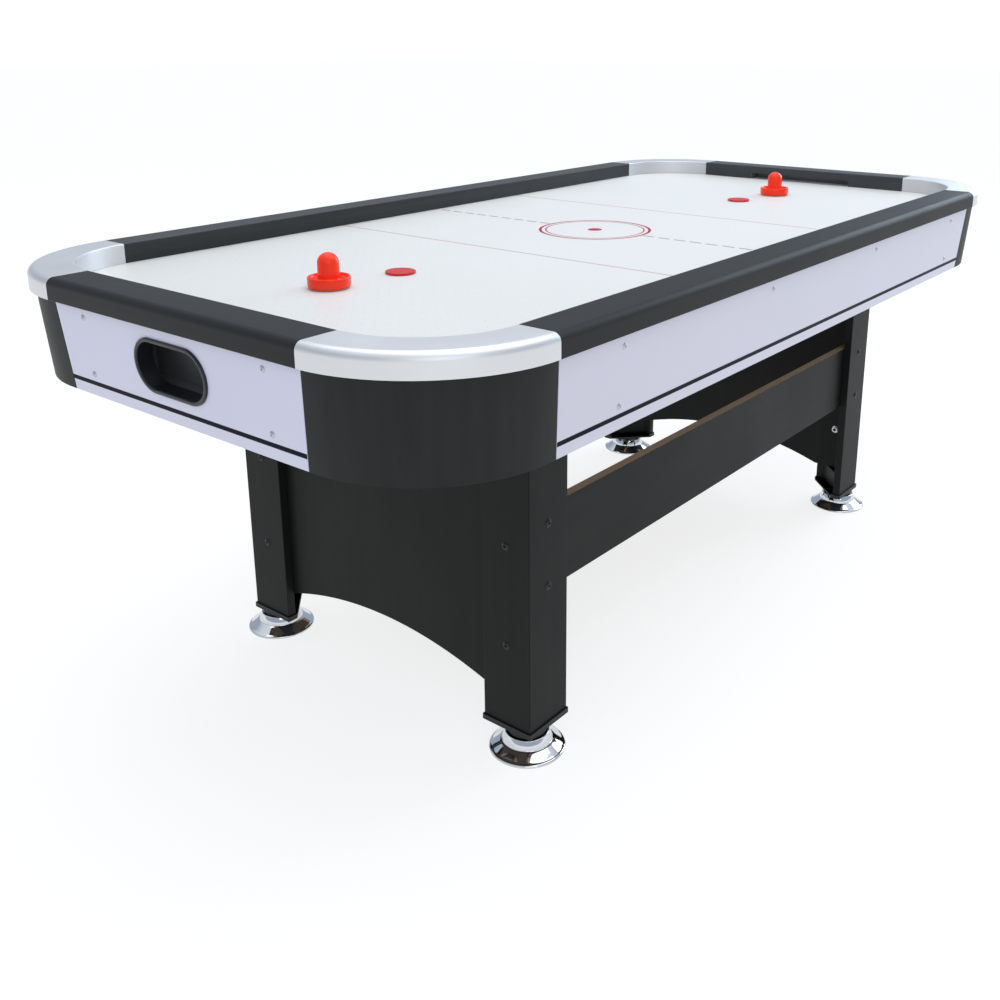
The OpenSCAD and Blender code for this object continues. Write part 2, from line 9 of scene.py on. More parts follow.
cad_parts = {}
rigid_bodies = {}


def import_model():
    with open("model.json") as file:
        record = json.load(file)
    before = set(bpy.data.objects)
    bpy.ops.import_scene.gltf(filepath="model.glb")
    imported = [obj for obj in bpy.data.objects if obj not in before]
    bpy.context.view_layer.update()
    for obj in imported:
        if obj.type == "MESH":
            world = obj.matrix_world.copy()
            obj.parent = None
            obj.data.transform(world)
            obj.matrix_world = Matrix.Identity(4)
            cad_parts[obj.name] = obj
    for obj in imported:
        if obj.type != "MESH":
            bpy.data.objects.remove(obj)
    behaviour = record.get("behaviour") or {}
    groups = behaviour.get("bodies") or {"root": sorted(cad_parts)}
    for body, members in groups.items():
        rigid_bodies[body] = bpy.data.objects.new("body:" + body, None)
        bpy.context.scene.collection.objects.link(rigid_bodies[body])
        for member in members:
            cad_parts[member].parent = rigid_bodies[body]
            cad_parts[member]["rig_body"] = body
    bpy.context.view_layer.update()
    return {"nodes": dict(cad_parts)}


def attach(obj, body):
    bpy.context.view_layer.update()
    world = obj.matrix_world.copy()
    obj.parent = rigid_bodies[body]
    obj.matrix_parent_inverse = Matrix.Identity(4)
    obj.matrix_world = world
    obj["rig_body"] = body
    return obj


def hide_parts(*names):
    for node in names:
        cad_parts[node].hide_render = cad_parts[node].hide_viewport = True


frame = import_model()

# ------------------------------------------------------------------ sizes, mm
HX, HY, ZT, ZF = 1067.0, 540.0, 813.0, 777.0
RW, RH, RR, CR = 73.0, 36.0, 13.0, 239.0
IN_T, IN_B, AH = 10.0, 22.5, 150.0
SLOPE = (IN_B - IN_T) / AH
TILT = math.atan(SLOPE)
ZU, ZP, ZL = 765.0, 705.0, 696.0
LX, LY, LW, BT = 678.0, 363.0, 101.0, 18.0
FI = 33.0
TABLE = "table"


def inset(z):
    return IN_T + (ZF - z) * SLOPE


# ------------------------------------------------------------------ 2D helpers
def fillet(poly, radii, n=5):
    """Rounds the corners of a closed polygon."""
    out = []
    m = len(poly)
    rs = [radii] * m if not hasattr(radii, "__len__") else list(radii)
    for i in range(m):
        p = Vector(poly[i]); a = Vector(poly[i - 1]); b = Vector(poly[(i + 1) % m])
        r = rs[i]
        if r <= 0:
            out.append((p.x, p.y))
            continue
        va, vb = (a - p), (b - p)
        la, lb = va.length, vb.length
        va.normalize(); vb.normalize()
        ang = math.acos(max(-1, min(1, va.dot(vb))))
        t = r / math.tan(ang / 2)
        lim = 0.495 * min(la, lb)
        if t > lim:
            r *= lim / t
            t = lim
        c = p + (va + vb).normalized() * (r / math.sin(ang / 2))
        s, e = p + va * t - c, p + vb * t - c
        a0 = math.atan2(s.y, s.x)
        da = math.atan2(e.y, e.x) - a0
        while da > math.pi:
            da -= 2 * math.pi
        while da < -math.pi:
            da += 2 * math.pi
        for k in range(n + 1):
            q = a0 + da * k / n
            out.append((c.x + r * math.cos(q), c.y + r * math.sin(q)))
    return out


def area(poly):
    return 0.5 * sum(poly[i - 1][0] * poly[i][1] - poly[i][0] * poly[i - 1][1] for i in range(len(poly)))


def ccw(poly):
    return list(poly) if area(poly) > 0 else list(reversed(poly))


def offset(poly, d):
    """Moves every edge of a counter-clockwise polygon inwards by d."""
    if abs(d) < 1e-9:
        return list(poly)
    m, out = len(poly), []
    for i in range(m):
        p0, p, p1 = Vector(poly[i - 1]), Vector(poly[i]), Vector(poly[(i + 1) % m])
        e0, e1 = (p - p0).normalized(), (p1 - p).normalized()
        n0, n1 = Vector((-e0.y, e0.x)), Vector((-e1.y, e1.x))
        k = 1 + n0.dot(n1)
        mit = (n0 + n1) / max(k, 0.3)
        q = p + mit * d
        out.append((q.x, q.y))
    return out


def obround(w, h, n=22):
    """Centre line of a stadium w wide along u and h high along v."""
    r, c = h / 2, (w - h) / 2
    pts = []
    for s, a0 in ((1, -90), (-1, 90)):
        for k in range(n + 1):
            a = math.radians(a0 + 180 * k / n)
            pts.append((s * c + r * math.cos(a), r * math.sin(a)))
    return pts


def catmull(pts, n=6):
    out = []
    for i in range(len(pts) - 1):
        p0 = pts[max(i - 1, 0)]; p1 = pts[i]; p2 = pts[i + 1]; p3 = pts[min(i + 2, len(pts) - 1)]
        for k in range(n):
            t = k / n
            out.append(tuple(0.5 * ((2 * p1[j]) + (-p0[j] + p2[j]) * t + (2 * p0[j] - 5 * p1[j] + 4 * p2[j] - p3[j]) * t * t
                                    + (-p0[j] + 3 * p1[j] - 3 * p2[j] + p3[j]) * t ** 3) for j in range(2)))
    out.append(tuple(pts[-1]))
    return out


# ------------------------------------------------------------------ mesh helpers
class Build:
    def __init__(self):
        self.v, self.f, self.m = [], [], []

    def add(self, verts, faces, mat=0):
        b = len(self.v)
        self.v += [tuple(p) for p in verts]
        self.f += [tuple(b + i for i in f) for f in faces]
        self.m += [mat] * len(faces)
        return b

    def rings(self, rings, closed_u=True, caps=True, mat=0, loop=False):
        """Skins equal-length rings of points; caps closes both ends with one face each; loop joins the last ring to the first."""
        n = len(rings[0])
        verts = [p for r in rings for p in r]
        faces = []
        m = len(rings)
        for i in range(m if loop else m - 1):
            j = (i + 1) % m
            for k in range(n if closed_u else n - 1):
                l = (k + 1) % n
                faces.append((i * n + k, i * n + l, j * n + l, j * n + k))
        if caps and not loop:
            faces.append(tuple(range(n)))
            faces.append(tuple((m - 1) * n + k for k in range(n)))
        self.add(verts, faces, mat)


def rim(s0, s1, r, n=3):
    """Stations (position, inset) of a straight run from s0 to s1 whose two ends are rounded by r."""
    if r <= 0:
        return [(s0, 0), (s1, 0)]
    d = 1 if s1 > s0 else -1
    a = [math.radians(90 - 90 * k / n) for k in range(n + 1)]
    st = [(s0 + d * r * (1 - math.sin(q)), r * (1 - math.cos(q))) for q in a]
    return st + [(s0 + s1 - s, i) for s, i in reversed(st)]


def sweep(b, prof, stations, place, mat=0):
    prof = ccw(prof)
    rings = [[place(s, u, v) for u, v in offset(prof, i)] for s, i in stations]
    b.rings(rings, mat=mat)


def holed(b, outer, holes, s0, s1, r, place, mat=0, n=3):
    """A board with holes: outline and holes in (u, v), from s0 to s1, every edge rounded by r."""
    outer, holes = ccw(outer), [ccw(h) for h in holes]
    st = rim(s0, s1, r, n)
    loops = [outer] + holes
    ends = {0: [], len(st) - 1: []}
    for li, lp in enumerate(loops):
        rings = [[place(s, u, v) for u, v in offset(lp, i if li == 0 else -i)] for s, i in st]
        base = len(b.v)
        b.rings(rings, caps=False, mat=mat)
        for e in ends:
            ends[e].append([base + e * len(lp) + k for k in range(len(lp))])
    for e, idx in ends.items():
        i = st[e][1]
        flat = [[Vector((u, v, 0)) for u, v in offset(lp, i if li == 0 else -i)] for li, lp in enumerate(loops)]
        names = [k for l in idx for k in l]
        for t in tessellate_polygon(flat):
            b.f.append(tuple(names[k] for k in t)); b.m.append(mat)


def lathe(b, prof, cx, cy, z0=0.0, segs=96, mat=0):
    """Turns (r, z) points, from the axis to the axis, about a vertical line."""
    ring_pts, idx, verts, faces = [], [], [], []
    for r, z in prof:
        if r < 1e-6:
            idx.append([len(verts)]); verts.append((cx, cy, z0 + z))
        else:
            idx.append(list(range(len(verts), len(verts) + segs)))
            verts += [(cx + r * math.cos(2 * math.pi * k / segs), cy + r * math.sin(2 * math.pi * k / segs), z0 + z) for k in range(segs)]
    for a, c in zip(idx, idx[1:]):
        for k in range(segs):
            l = (k + 1) % segs
            if len(a) == 1 and len(c) == 1:
                break
            if len(a) == 1:
                faces.append((a[0], c[k], c[l]))
            elif len(c) == 1:
                faces.append((a[k], a[l], c[0]))
            else:
                faces.append((a[k], a[l], c[l], c[k]))
    b.add(verts, faces, mat)


def finish_mesh(name, me, mats, body, nodes, sharp, weighted):
    for p in me.polygons:
        p.use_smooth = True
    me.set_sharp_from_angle(angle=math.radians(sharp))
    for m in mats:
        me.materials.append(m)
    o = bpy.data.objects.new(name, me)
    bpy.context.scene.collection.objects.link(o)
    if weighted:
        w = o.modifiers.new("flat", "WEIGHTED_NORMAL")
        w.keep_sharp = True
        w.mode = "FACE_AREA"
        w.weight = 60
    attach(o, body)
    if nodes:
        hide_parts(*nodes)
    return o


def piece(name, b, mats, body=TABLE, nodes=(), sharp=40, weighted=True, by_face=None, cuts=(), recalc=True, weld=0.002):
    """Makes one object out of a Build in millimetres. by_face picks a material index from a face's centre and normal."""
    if not hasattr(mats, "__len__"):
        mats = [mats]
    nodes = [nodes] if isinstance(nodes, str) else list(nodes)
    me = bpy.data.meshes.new(name)
    me.from_pydata([(x / 1000, y / 1000, z / 1000) for x, y, z in b.v], [], b.f)
    for p, m in zip(me.polygons, b.m):
        p.material_index = m
    bm = bmesh.new()
    bm.from_mesh(me)
    bmesh.ops.remove_doubles(bm, verts=bm.verts, dist=weld / 1000)
    for co, no in cuts:
        bmesh.ops.bisect_plane(bm, geom=bm.verts[:] + bm.edges[:] + bm.faces[:], plane_co=Vector(co) / 1000, plane_no=no)
    if recalc:
        bmesh.ops.recalc_face_normals(bm, faces=bm.faces)
    if by_face:
        for f in bm.faces:
            f.material_index = by_face(f.calc_center_median() * 1000, f.normal)
    bm.to_mesh(me)
    bm.free()
    o = finish_mesh(name, me, mats, body, nodes, sharp, weighted)
    return o


def refine(node, mats, r=0.0, segs=2, angle=32, body=None, by_face=None, sharp=40, dissolve=True):
    """A finer copy of a plain CAD solid: welded, flat faces joined up, and every edge broken by r millimetres."""
    if not hasattr(mats, "__len__"):
        mats = [mats]
    src = frame["nodes"][node]
    bm = bmesh.new()
    bm.from_mesh(src.data)
    bmesh.ops.remove_doubles(bm, verts=bm.verts, dist=1e-6)
    if dissolve:
        bmesh.ops.dissolve_limit(bm, angle_limit=math.radians(0.4), verts=bm.verts, edges=bm.edges)
    bmesh.ops.recalc_face_normals(bm, faces=bm.faces)
    if r > 0:
        lim = math.radians(angle)
        edges = [e for e in bm.edges if len(e.link_faces) == 2 and e.calc_face_angle(0) > lim]
        bmesh.ops.bevel(bm, geom=edges, offset=r / 1000, offset_type="OFFSET", segments=segs, profile=0.5, affect="EDGES", clamp_overlap=True)
    for f in bm.faces:
        f.material_index = by_face(f.calc_center_median() * 1000, f.normal) if by_face else 0
    me = bpy.data.meshes.new(node + "_look")
    bm.to_mesh(me)
    bm.free()
    return finish_mesh(node + "_look", me, mats, body or src["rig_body"], [node], sharp, True)


def boolean(name_a, ba, bb):
    """The solid in ba less the solid in bb, as a Build."""
    objs = []
    for k, b in enumerate((ba, bb)):
        me = bpy.data.meshes.new(f"tmp{k}")
        me.from_pydata(b.v, [], b.f)
        bm = bmesh.new(); bm.from_mesh(me)
        bmesh.ops.remove_doubles(bm, verts=bm.verts, dist=1e-4)
        bmesh.ops.recalc_face_normals(bm, faces=bm.faces)
        bm.to_mesh(me); bm.free()
        o = bpy.data.objects.new(f"tmp{k}", me)
        bpy.context.scene.collection.objects.link(o)
        objs.append(o)
    mod = objs[0].modifiers.new("cut", "BOOLEAN")
    mod.operation, mod.object, mod.solver = "DIFFERENCE", objs[1], "EXACT"
    ev = objs[0].evaluated_get(bpy.context.evaluated_depsgraph_get())
    me = ev.to_mesh()
    out = Build()
    out.add([v.co[:] for v in me.vertices], [tuple(p.vertices) for p in me.polygons])
    ev.to_mesh_clear()
    for o in objs:
        m = o.data
        bpy.data.objects.remove(o)
        bpy.data.meshes.remove(m)
    return out


# ------------------------------------------------------------------ materials
class Mat:
    def __init__(self, name, base, rough, **kw):
        self.m = bpy.data.materials.new(name)
        self.m.use_nodes = True
        self.nt = self.m.node_tree
        self.p = self.nt.nodes["Principled BSDF"]
        self.p.inputs["Base Color"].default_value = (*base, 1)
        self.p.inputs["Roughness"].default_value = rough
        names = dict(metal="Metallic", spec="Specular IOR Level", coat="Coat Weight", coat_rough="Coat Roughness",
                     sheen="Sheen Weight", sheen_rough="Sheen Roughness", aniso="Anisotropic")
        for k, v in kw.items():
            self.p.inputs[names[k]].default_value = v
        self.co = self.nt.nodes.new("ShaderNodeTexCoord")
        self.height = None

    def node(self, kind, **inputs):
        n = self.nt.nodes.new(kind)
        for k, v in inputs.items():
            n.inputs[k.replace("_", " ")].default_value = v
        return n

    def coords(self, stretch=(1, 1, 1)):
        mp = self.nt.nodes.new("ShaderNodeMapping")
        mp.inputs["Scale"].default_value = stretch
        self.nt.links.new(self.co.outputs["Object"], mp.inputs["Vector"])
        return mp.outputs["Vector"]

    def noise(self, scale, stretch=(1, 1, 1), detail=4.0, rough=0.55, distort=0.0):
        n = self.node("ShaderNodeTexNoise", Scale=scale, Detail=detail, Roughness=rough, Distortion=distort)
        self.nt.links.new(self.coords(stretch), n.inputs["Vector"])
        return n.outputs["Fac"]

    def voronoi(self, scale, stretch=(1, 1, 1), out="Distance"):
        n = self.node("ShaderNodeTexVoronoi", Scale=scale)
        self.nt.links.new(self.coords(stretch), n.inputs["Vector"])
        return n.outputs[out]

    def wave(self, scale, stretch=(1, 1, 1), distort=4.0, detail=2.0, direction="X"):
        n = self.node("ShaderNodeTexWave", Scale=scale, Distortion=distort, Detail=detail)
        n.bands_direction = direction
        self.nt.links.new(self.coords(stretch), n.inputs["Vector"])
        return n.outputs["Fac"]

    def ramp(self, fac, stops):
        n = self.nt.nodes.new("ShaderNodeValToRGB")
        el = n.color_ramp.elements
        while len(el) < len(stops):
            el.new(0.5)
        for e, (p, c) in zip(el, stops):
            e.position = p
            e.color = (*c, 1) if hasattr(c, "__len__") else (c, c, c, 1)
        self.nt.links.new(fac, n.inputs["Fac"])
        return n.outputs["Color"]

    def span(self, fac, lo, hi, a=0.25, b=0.75):
        n = self.nt.nodes.new("ShaderNodeMapRange")
        n.inputs["From Min"].default_value = a
        n.inputs["From Max"].default_value = b
        n.inputs["To Min"].default_value = lo
        n.inputs["To Max"].default_value = hi
        self.nt.links.new(fac, n.inputs["Value"])
        return n.outputs["Result"]

    def mixc(self, fac, a, b, kind="MIX"):
        n = self.nt.nodes.new("ShaderNodeMix")
        n.data_type = "RGBA"
        n.blend_type = kind
        for i, x in ((6, a), (7, b)):
            if hasattr(x, "is_output"):
                self.nt.links.new(x, n.inputs[i])
            else:
                n.inputs[i].default_value = (*x, 1)
        if hasattr(fac, "is_output"):
            self.nt.links.new(fac, n.inputs[0])
        else:
            n.inputs[0].default_value = fac
        return n.outputs[2]

    def math(self, op, a, b):
        n = self.nt.nodes.new("ShaderNodeMath")
        n.operation = op
        for i, x in enumerate((a, b)):
            if hasattr(x, "is_output"):
                self.nt.links.new(x, n.inputs[i])
            else:
                n.inputs[i].default_value = x
        return n.outputs[0]

    def color(self, out):
        self.nt.links.new(out, self.p.inputs["Base Color"])
        return self

    def rough(self, out):
        self.nt.links.new(out, self.p.inputs["Roughness"])
        return self

    def bump(self, fac, strength, distance):
        n = self.nt.nodes.new("ShaderNodeBump")
        n.inputs["Strength"].default_value = strength
        n.inputs["Distance"].default_value = distance
        self.nt.links.new(fac, n.inputs["Height"])
        if self.height is not None:
            self.nt.links.new(self.height, n.inputs["Normal"])
        self.height = n.outputs["Normal"]
        self.nt.links.new(self.height, self.p.inputs["Normal"])
        return self


def sc(c, k):
    return tuple(x * k for x in c)


def foil(name, base, axis, rough=(0.34, 0.46), spec=0.5, coat=0.0, emboss=0.25):
    """Wood-effect foil: fine streaks along axis, broken pores and a little sheen."""
    m = Mat(name, base, sum(rough) / 2, spec=spec, coat=coat, coat_rough=0.25)
    st = [1.0, 1.0, 1.0]
    st[axis] = 0.03
    pores = m.noise(520, st, detail=6, rough=0.62)
    bands = m.noise(46, st, detail=3, rough=0.5)
    cloud = m.noise(5, detail=3)
    tone = m.math("ADD", m.math("MULTIPLY", pores, 0.45), m.math("MULTIPLY", bands, 0.55))
    c = m.ramp(tone, [(0.3, sc(base, 0.74)), (0.5, base), (0.72, sc(base, 1.34))])
    m.color(m.mixc(m.span(cloud, 0.0, 0.35), c, sc(base, 1.18)))
    m.rough(m.span(m.math("ADD", m.math("MULTIPLY", pores, 0.5), m.math("MULTIPLY", cloud, 0.5)), rough[0], rough[1]))
    m.bump(pores, emboss, 0.00035)
    m.bump(m.noise(1900, detail=2), emboss * 0.5, 0.00012)
    return m.m


def moulded(name, base, rough=(0.28, 0.40), spec=0.45, grain=0.25, coat=0.0):
    """Moulded plastic: a fine even grain and slight handling marks."""
    m = Mat(name, base, sum(rough) / 2, spec=spec, coat=coat, coat_rough=0.12)
    cloud = m.noise(9, detail=4)
    fine = m.noise(1500, detail=2)
    m.color(m.mixc(m.span(cloud, 0.0, 1.0), sc(base, 0.92), sc(base, 1.10)))
    m.rough(m.span(m.math("ADD", m.math("MULTIPLY", cloud, 0.6), m.math("MULTIPLY", fine, 0.4)), rough[0], rough[1]))
    m.bump(fine, grain, 0.0001)
    return m.m


def metal(name, base, rough=(0.2, 0.35), brush=None, bump=0.05, metalness=1.0):
    m = Mat(name, base, sum(rough) / 2, metal=metalness)
    st = [1.0, 1.0, 1.0]
    if brush is not None:
        st[brush] = 0.04
    a = m.noise(380, st, detail=4)
    b = m.noise(14, detail=3)
    m.color(m.mixc(m.span(b, 0.0, 1.0), sc(base, 0.93), base))
    m.rough(m.span(m.math("ADD", m.math("MULTIPLY", a, 0.55), m.math("MULTIPLY", b, 0.45)), rough[0], rough[1]))
    m.bump(a, bump, 0.00008)
    return m.m


def timber(name, light, dark, axis, rough=(0.55, 0.75)):
    m = Mat(name, light, 0.65, spec=0.3)
    st = [1.0, 1.0, 1.0]
    st[axis] = 0.06
    rings = m.wave(34, st, distort=5.5, detail=3, direction="DIAGONAL")
    fibre = m.noise(420, st, detail=6)
    tone = m.math("ADD", m.math("MULTIPLY", rings, 0.5), m.math("MULTIPLY", fibre, 0.5))
    m.color(m.ramp(tone, [(0.2, dark), (0.55, light), (0.85, sc(light, 1.12))]))
    m.rough(m.span(fibre, rough[0], rough[1]))
    m.bump(fibre, 0.3, 0.0004)
    return m.m


def fibreboard(name, light, dark):
    m = Mat(name, light, 0.75, spec=0.25)
    a, b = m.noise(900, detail=5, rough=0.7), m.noise(130, detail=4)
    tone = m.math("ADD", m.math("MULTIPLY", a, 0.7), m.math("MULTIPLY", b, 0.3))
    m.color(m.ramp(tone, [(0.3, dark), (0.52, light), (0.75, sc(light, 1.35))]))
    m.rough(m.span(a, 0.62, 0.85))
    m.bump(a, 0.35, 0.0003)
    return m.m


RAIL_C = (0.0225, 0.0245, 0.0265)
# The four rail foils are one foil, RAIL_C, scaled per rail to stand in for how each rail is lit: painted shade on the
# right long rail and the near end rail, painted light on the left long rail and the far end rail.
M_RAIL_RIGHT_PAINTED_SHADE = foil("rail_foil_x", sc(RAIL_C, 0.46), 0, rough=(0.48, 0.57), spec=0.20, emboss=0.22)
M_RAIL_LEFT_PAINTED_LIGHT = foil("rail_foil_left", sc(RAIL_C, 1.05), 0, rough=(0.36, 0.46), spec=0.22, emboss=0.22)
M_RAIL_NEAR_PAINTED_SHADE = foil("rail_foil_y", sc(RAIL_C, 0.70), 1, rough=(0.40, 0.52), spec=0.16, emboss=0.22)
M_RAIL_FAR_PAINTED_LIGHT = foil("rail_foil_far", sc(RAIL_C, 2.0), 1, rough=(0.40, 0.52), spec=0.2, emboss=0.22)
BLACK_C = (0.0073, 0.0076, 0.0075)
M_LAM_Z = foil("black_laminate_z", BLACK_C, 2, rough=(0.42, 0.56), spec=0.15, emboss=0.3)
M_LAM_X = foil("black_laminate_x", BLACK_C, 0, rough=(0.42, 0.56), spec=0.15, emboss=0.3)
M_PANEL = foil("corner_panel_foil", (0.0130, 0.0135, 0.0132), 2, rough=(0.44, 0.58), spec=0.19, emboss=0.28)


def silver_paint():
    m = Mat("silver_paint", (0.67, 0.672, 0.68), 0.46, metal=1.0, spec=0.5)
    flake = m.noise(2600, detail=2, rough=0.7)
    cloud = m.noise(7, detail=3)
    m.color(m.ramp(m.math("ADD", m.math("MULTIPLY", flake, 0.6), m.math("MULTIPLY", cloud, 0.4)),
                   [(0.3, (0.645, 0.655, 0.675)), (0.5, (0.69, 0.70, 0.715)), (0.72, (0.73, 0.735, 0.745))]))
    m.rough(m.span(m.math("ADD", m.math("MULTIPLY", flake, 0.5), m.math("MULTIPLY", cloud, 0.5)), 0.42, 0.50))
    m.bump(flake, 0.05, 0.00006)
    m.bump(m.noise(160, detail=2), 0.03, 0.0003)
    return m.m


def apron_board(name, base):
    m = Mat(name, base, 0.36, spec=0.4, coat=0.08, coat_rough=0.2)
    cloud, fine = m.noise(4, detail=4), m.noise(900, detail=3)
    m.color(m.mixc(m.span(cloud, 0.0, 1.0), sc(base, 0.975), sc(base, 1.02)))
    m.rough(m.span(m.math("ADD", m.math("MULTIPLY", cloud, 0.5), m.math("MULTIPLY", fine, 0.5)), 0.31, 0.42))
    m.bump(fine, 0.08, 0.0001)
    return m.m


def field_top():
    base = (0.690, 0.692, 0.678)
    m = Mat("playfield_gloss", base, 0.42, spec=0.42)
    cloud, smear, fine = m.noise(2.2, detail=4), m.noise(6, detail=3), m.noise(1300, detail=2)
    m.color(m.mixc(m.span(cloud, 0.0, 1.0), sc(base, 0.985), sc(base, 1.012)))
    m.rough(m.span(m.math("ADD", m.math("MULTIPLY", smear, 0.7), m.math("MULTIPLY", fine, 0.3)), 0.38, 0.46))
    m.bump(fine, 0.03, 0.00006)
    return m.m


def printed(name, base, edge=1.12):
    m = Mat(name, base, 0.4, spec=0.05)
    n = m.noise(700, detail=3)
    m.color(m.mixc(m.span(n, 0.0, 1.0), sc(base, 0.92), sc(base, edge)))
    m.rough(m.span(n, 0.34, 0.48))
    return m.m


def chrome():
    m = Mat("mirror_chrome", (0.66, 0.68, 0.71), 0.05, metal=1.0)
    wipe, fine = m.noise(60, (1, 1, 0.3), detail=3), m.noise(900, detail=2)
    m.rough(m.span(m.math("ADD", m.math("MULTIPLY", wipe, 0.6), m.math("MULTIPLY", fine, 0.4)), 0.03, 0.085))
    m.color(m.mixc(m.span(wipe, 0.0, 1.0), (0.63, 0.65, 0.68), (0.69, 0.71, 0.74)))
    m.bump(fine, 0.012, 0.00005)
    return m.m


def felt_mat():
    m = Mat("wool_felt", (0.80, 0.79, 0.74), 0.95, spec=0.1, sheen=0.5, sheen_rough=0.5)
    a, b = m.noise(1400, detail=6, rough=0.75), m.noise(180, detail=4)
    m.color(m.ramp(m.math("ADD", m.math("MULTIPLY", a, 0.7), m.math("MULTIPLY", b, 0.3)),
                   [(0.3, (0.62, 0.60, 0.55)), (0.55, (0.80, 0.79, 0.74)), (0.8, (0.90, 0.89, 0.85))]))
    m.bump(a, 0.8, 0.0004)
    return m.m


M_SILVER = silver_paint()
M_APRON = apron_board("apron_lilac", (0.607, 0.610, 0.738))
M_APRON_W = apron_board("apron_band", (0.607, 0.618, 0.735))
# the long aprons are the same lilac board as the end aprons, painted darker: painted shade for how the long sides are
# lit
M_APRON_LONG_PAINTED_SHADE = apron_board("apron_lilac_long", (0.572, 0.566, 0.660))
M_APRON_LONG_BAND_PAINTED_SHADE = apron_board("apron_band_long", (0.572, 0.568, 0.660))
M_FIELD = field_top()
# light grey for the faces inside the goal mouths: painted light, so the shaded slot is as bright as the rail foil
M_MOUTH_PAINTED_LIGHT = moulded("goal_mouth_painted_light", (0.17, 0.18, 0.19), (0.45, 0.6), spec=0.3, grain=0.2)
# mid grey for the walls and bottoms of the air holes: painted shade that stands in for the dark depth of each hole
M_HOLE_PAINTED_SHADE = moulded("air_hole_painted_shade", (0.30, 0.305, 0.31), (0.6, 0.8), grain=0.1)
M_NAVY = printed("navy_stripe", (0.0025, 0.0035, 0.011))
M_RED_INK = printed("red_print", (0.36, 0.014, 0.045))
M_PINK_INK = printed("thin_red_print", (0.50, 0.30, 0.31))
M_GREY_INK = printed("dashed_print", (0.34, 0.23, 0.27))
M_GOAL = moulded("goal_plastic", (0.0095, 0.0100, 0.0125), (0.24, 0.34), spec=0.38, grain=0.15)
# a far lighter copy of the black goal plastic for the inside of the goal box: painted light in the shaded recess
M_GOAL_IN_PAINTED_LIGHT = moulded("goal_plastic_inside_painted_light", (0.19, 0.195, 0.20), (0.40, 0.52), spec=0.4, grain=0.2)
M_CAP = moulded("black_plastic", (0.012, 0.012, 0.0125), (0.40, 0.55), spec=0.35)
# raw fibreboard edges: the board's own tan, made lighter as painted light to offset the shade under the table
M_MDF_TAN_AND_PAINTED_LIGHT = fibreboard("raw_fibreboard_tan_and_painted_light", (0.62, 0.45, 0.31), (0.42, 0.29, 0.18))
# a very dark hardboard for the bottom panel: partly a darker board, partly painted shade of the underside beneath the
# cabinet
M_HARD_DARK_AND_PAINTED_SHADE = fibreboard("hardboard", (0.085, 0.062, 0.045), (0.055, 0.040, 0.028))
M_PINE_X = timber("pine_x", (0.60, 0.42, 0.23), (0.42, 0.26, 0.12), 0)
M_PINE_Y = timber("pine_y", (0.60, 0.42, 0.23), (0.42, 0.26, 0.12), 1)
M_CHROME = chrome()
M_ZINC = metal("zinc", (0.62, 0.64, 0.67), (0.22, 0.38))
M_SCREW = metal("screw_steel", (0.50, 0.51, 0.55), (0.25, 0.40), metalness=0.9)
M_BOLT = metal("black_bolt", (0.018, 0.0185, 0.019), (0.32, 0.45), metalness=0.5)
M_MOTOR = metal("motor_enamel", (0.09, 0.095, 0.10), (0.35, 0.5), metalness=0.5)
M_NYLON = moulded("nylon", (0.045, 0.05, 0.055), (0.4, 0.55), spec=0.4)
M_MALLET = moulded("mallet_red", (0.93, 0.034, 0.006), (0.22, 0.32), spec=0.28, grain=0.05, coat=0.08)
M_PUCK = moulded("puck_red", (0.58, 0.022, 0.023), (0.34, 0.46), spec=0.25, grain=0.1)
M_ROCKER = moulded("rocker_red", (0.55, 0.02, 0.015), (0.18, 0.28), spec=0.5, grain=0.05)
M_FELT = felt_mat()

CORNERS = {"near_right": (-1, -1), "near_left": (-1, 1), "far_right": (1, -1), "far_left": (1, 1)}

# ------------------------------------------------------------------ rails and caps
RAIL = fillet([(0, 0), (RW, 0), (RW, RH), (0, RH)], [0.8, 1.4, RR, 2.2], n=8)


def in_mouth(c, n):
    """The faces inside the cut in the end rail, which take a light grey as painted light in the shaded goal mouth."""
    return 1 if abs(c.y) < 150.5 and 777.4 < c.z < 793.6 and 994.6 < abs(c.x) < 1036 else 0


def rails():
    for name, s in (("right", -1), ("left", 1)):
        b = Build()
        sweep(b, RAIL, rim(-(HX - CR) + 0.15, HX - CR - 0.15, 0.5), lambda x, u, v, s=s: (x, s * (HY - RW + u), ZF + v))
        # each long rail takes its own painted-light or painted-shade copy of the one foil
        piece(f"long_rail_{name}_look", b, M_RAIL_RIGHT_PAINTED_SHADE if name == "right" else M_RAIL_LEFT_PAINTED_LIGHT, nodes=f"long_rail_{name}")
    for name, s in (("near", -1), ("far", 1)):
        b = Build()
        sweep(b, RAIL, rim(-(HY - CR) + 0.15, HY - CR - 0.15, 0.5), lambda y, u, v, s=s: (s * (HX - RW + u), y, ZF + v))
        c = Build()
        # the goal mouth, with rounded upper corners
        mouth = fillet([(-150, -5), (150, -5), (150, 16), (-150, 16)], [0, 0, 5, 5], n=5)
        sweep(c, mouth, [(-1, 0), (41, 0)], lambda x, y, z, s=s: (s * (HX - RW + x), y, ZF + z))
        # each end rail takes its own painted-light or painted-shade copy of the one foil
        piece(f"end_rail_{name}_look", boolean("rail", b, c), [M_RAIL_NEAR_PAINTED_SHADE if name == "near" else M_RAIL_FAR_PAINTED_LIGHT, M_MOUTH_PAINTED_LIGHT], nodes=f"end_rail_{name}", sharp=38, by_face=in_mouth)


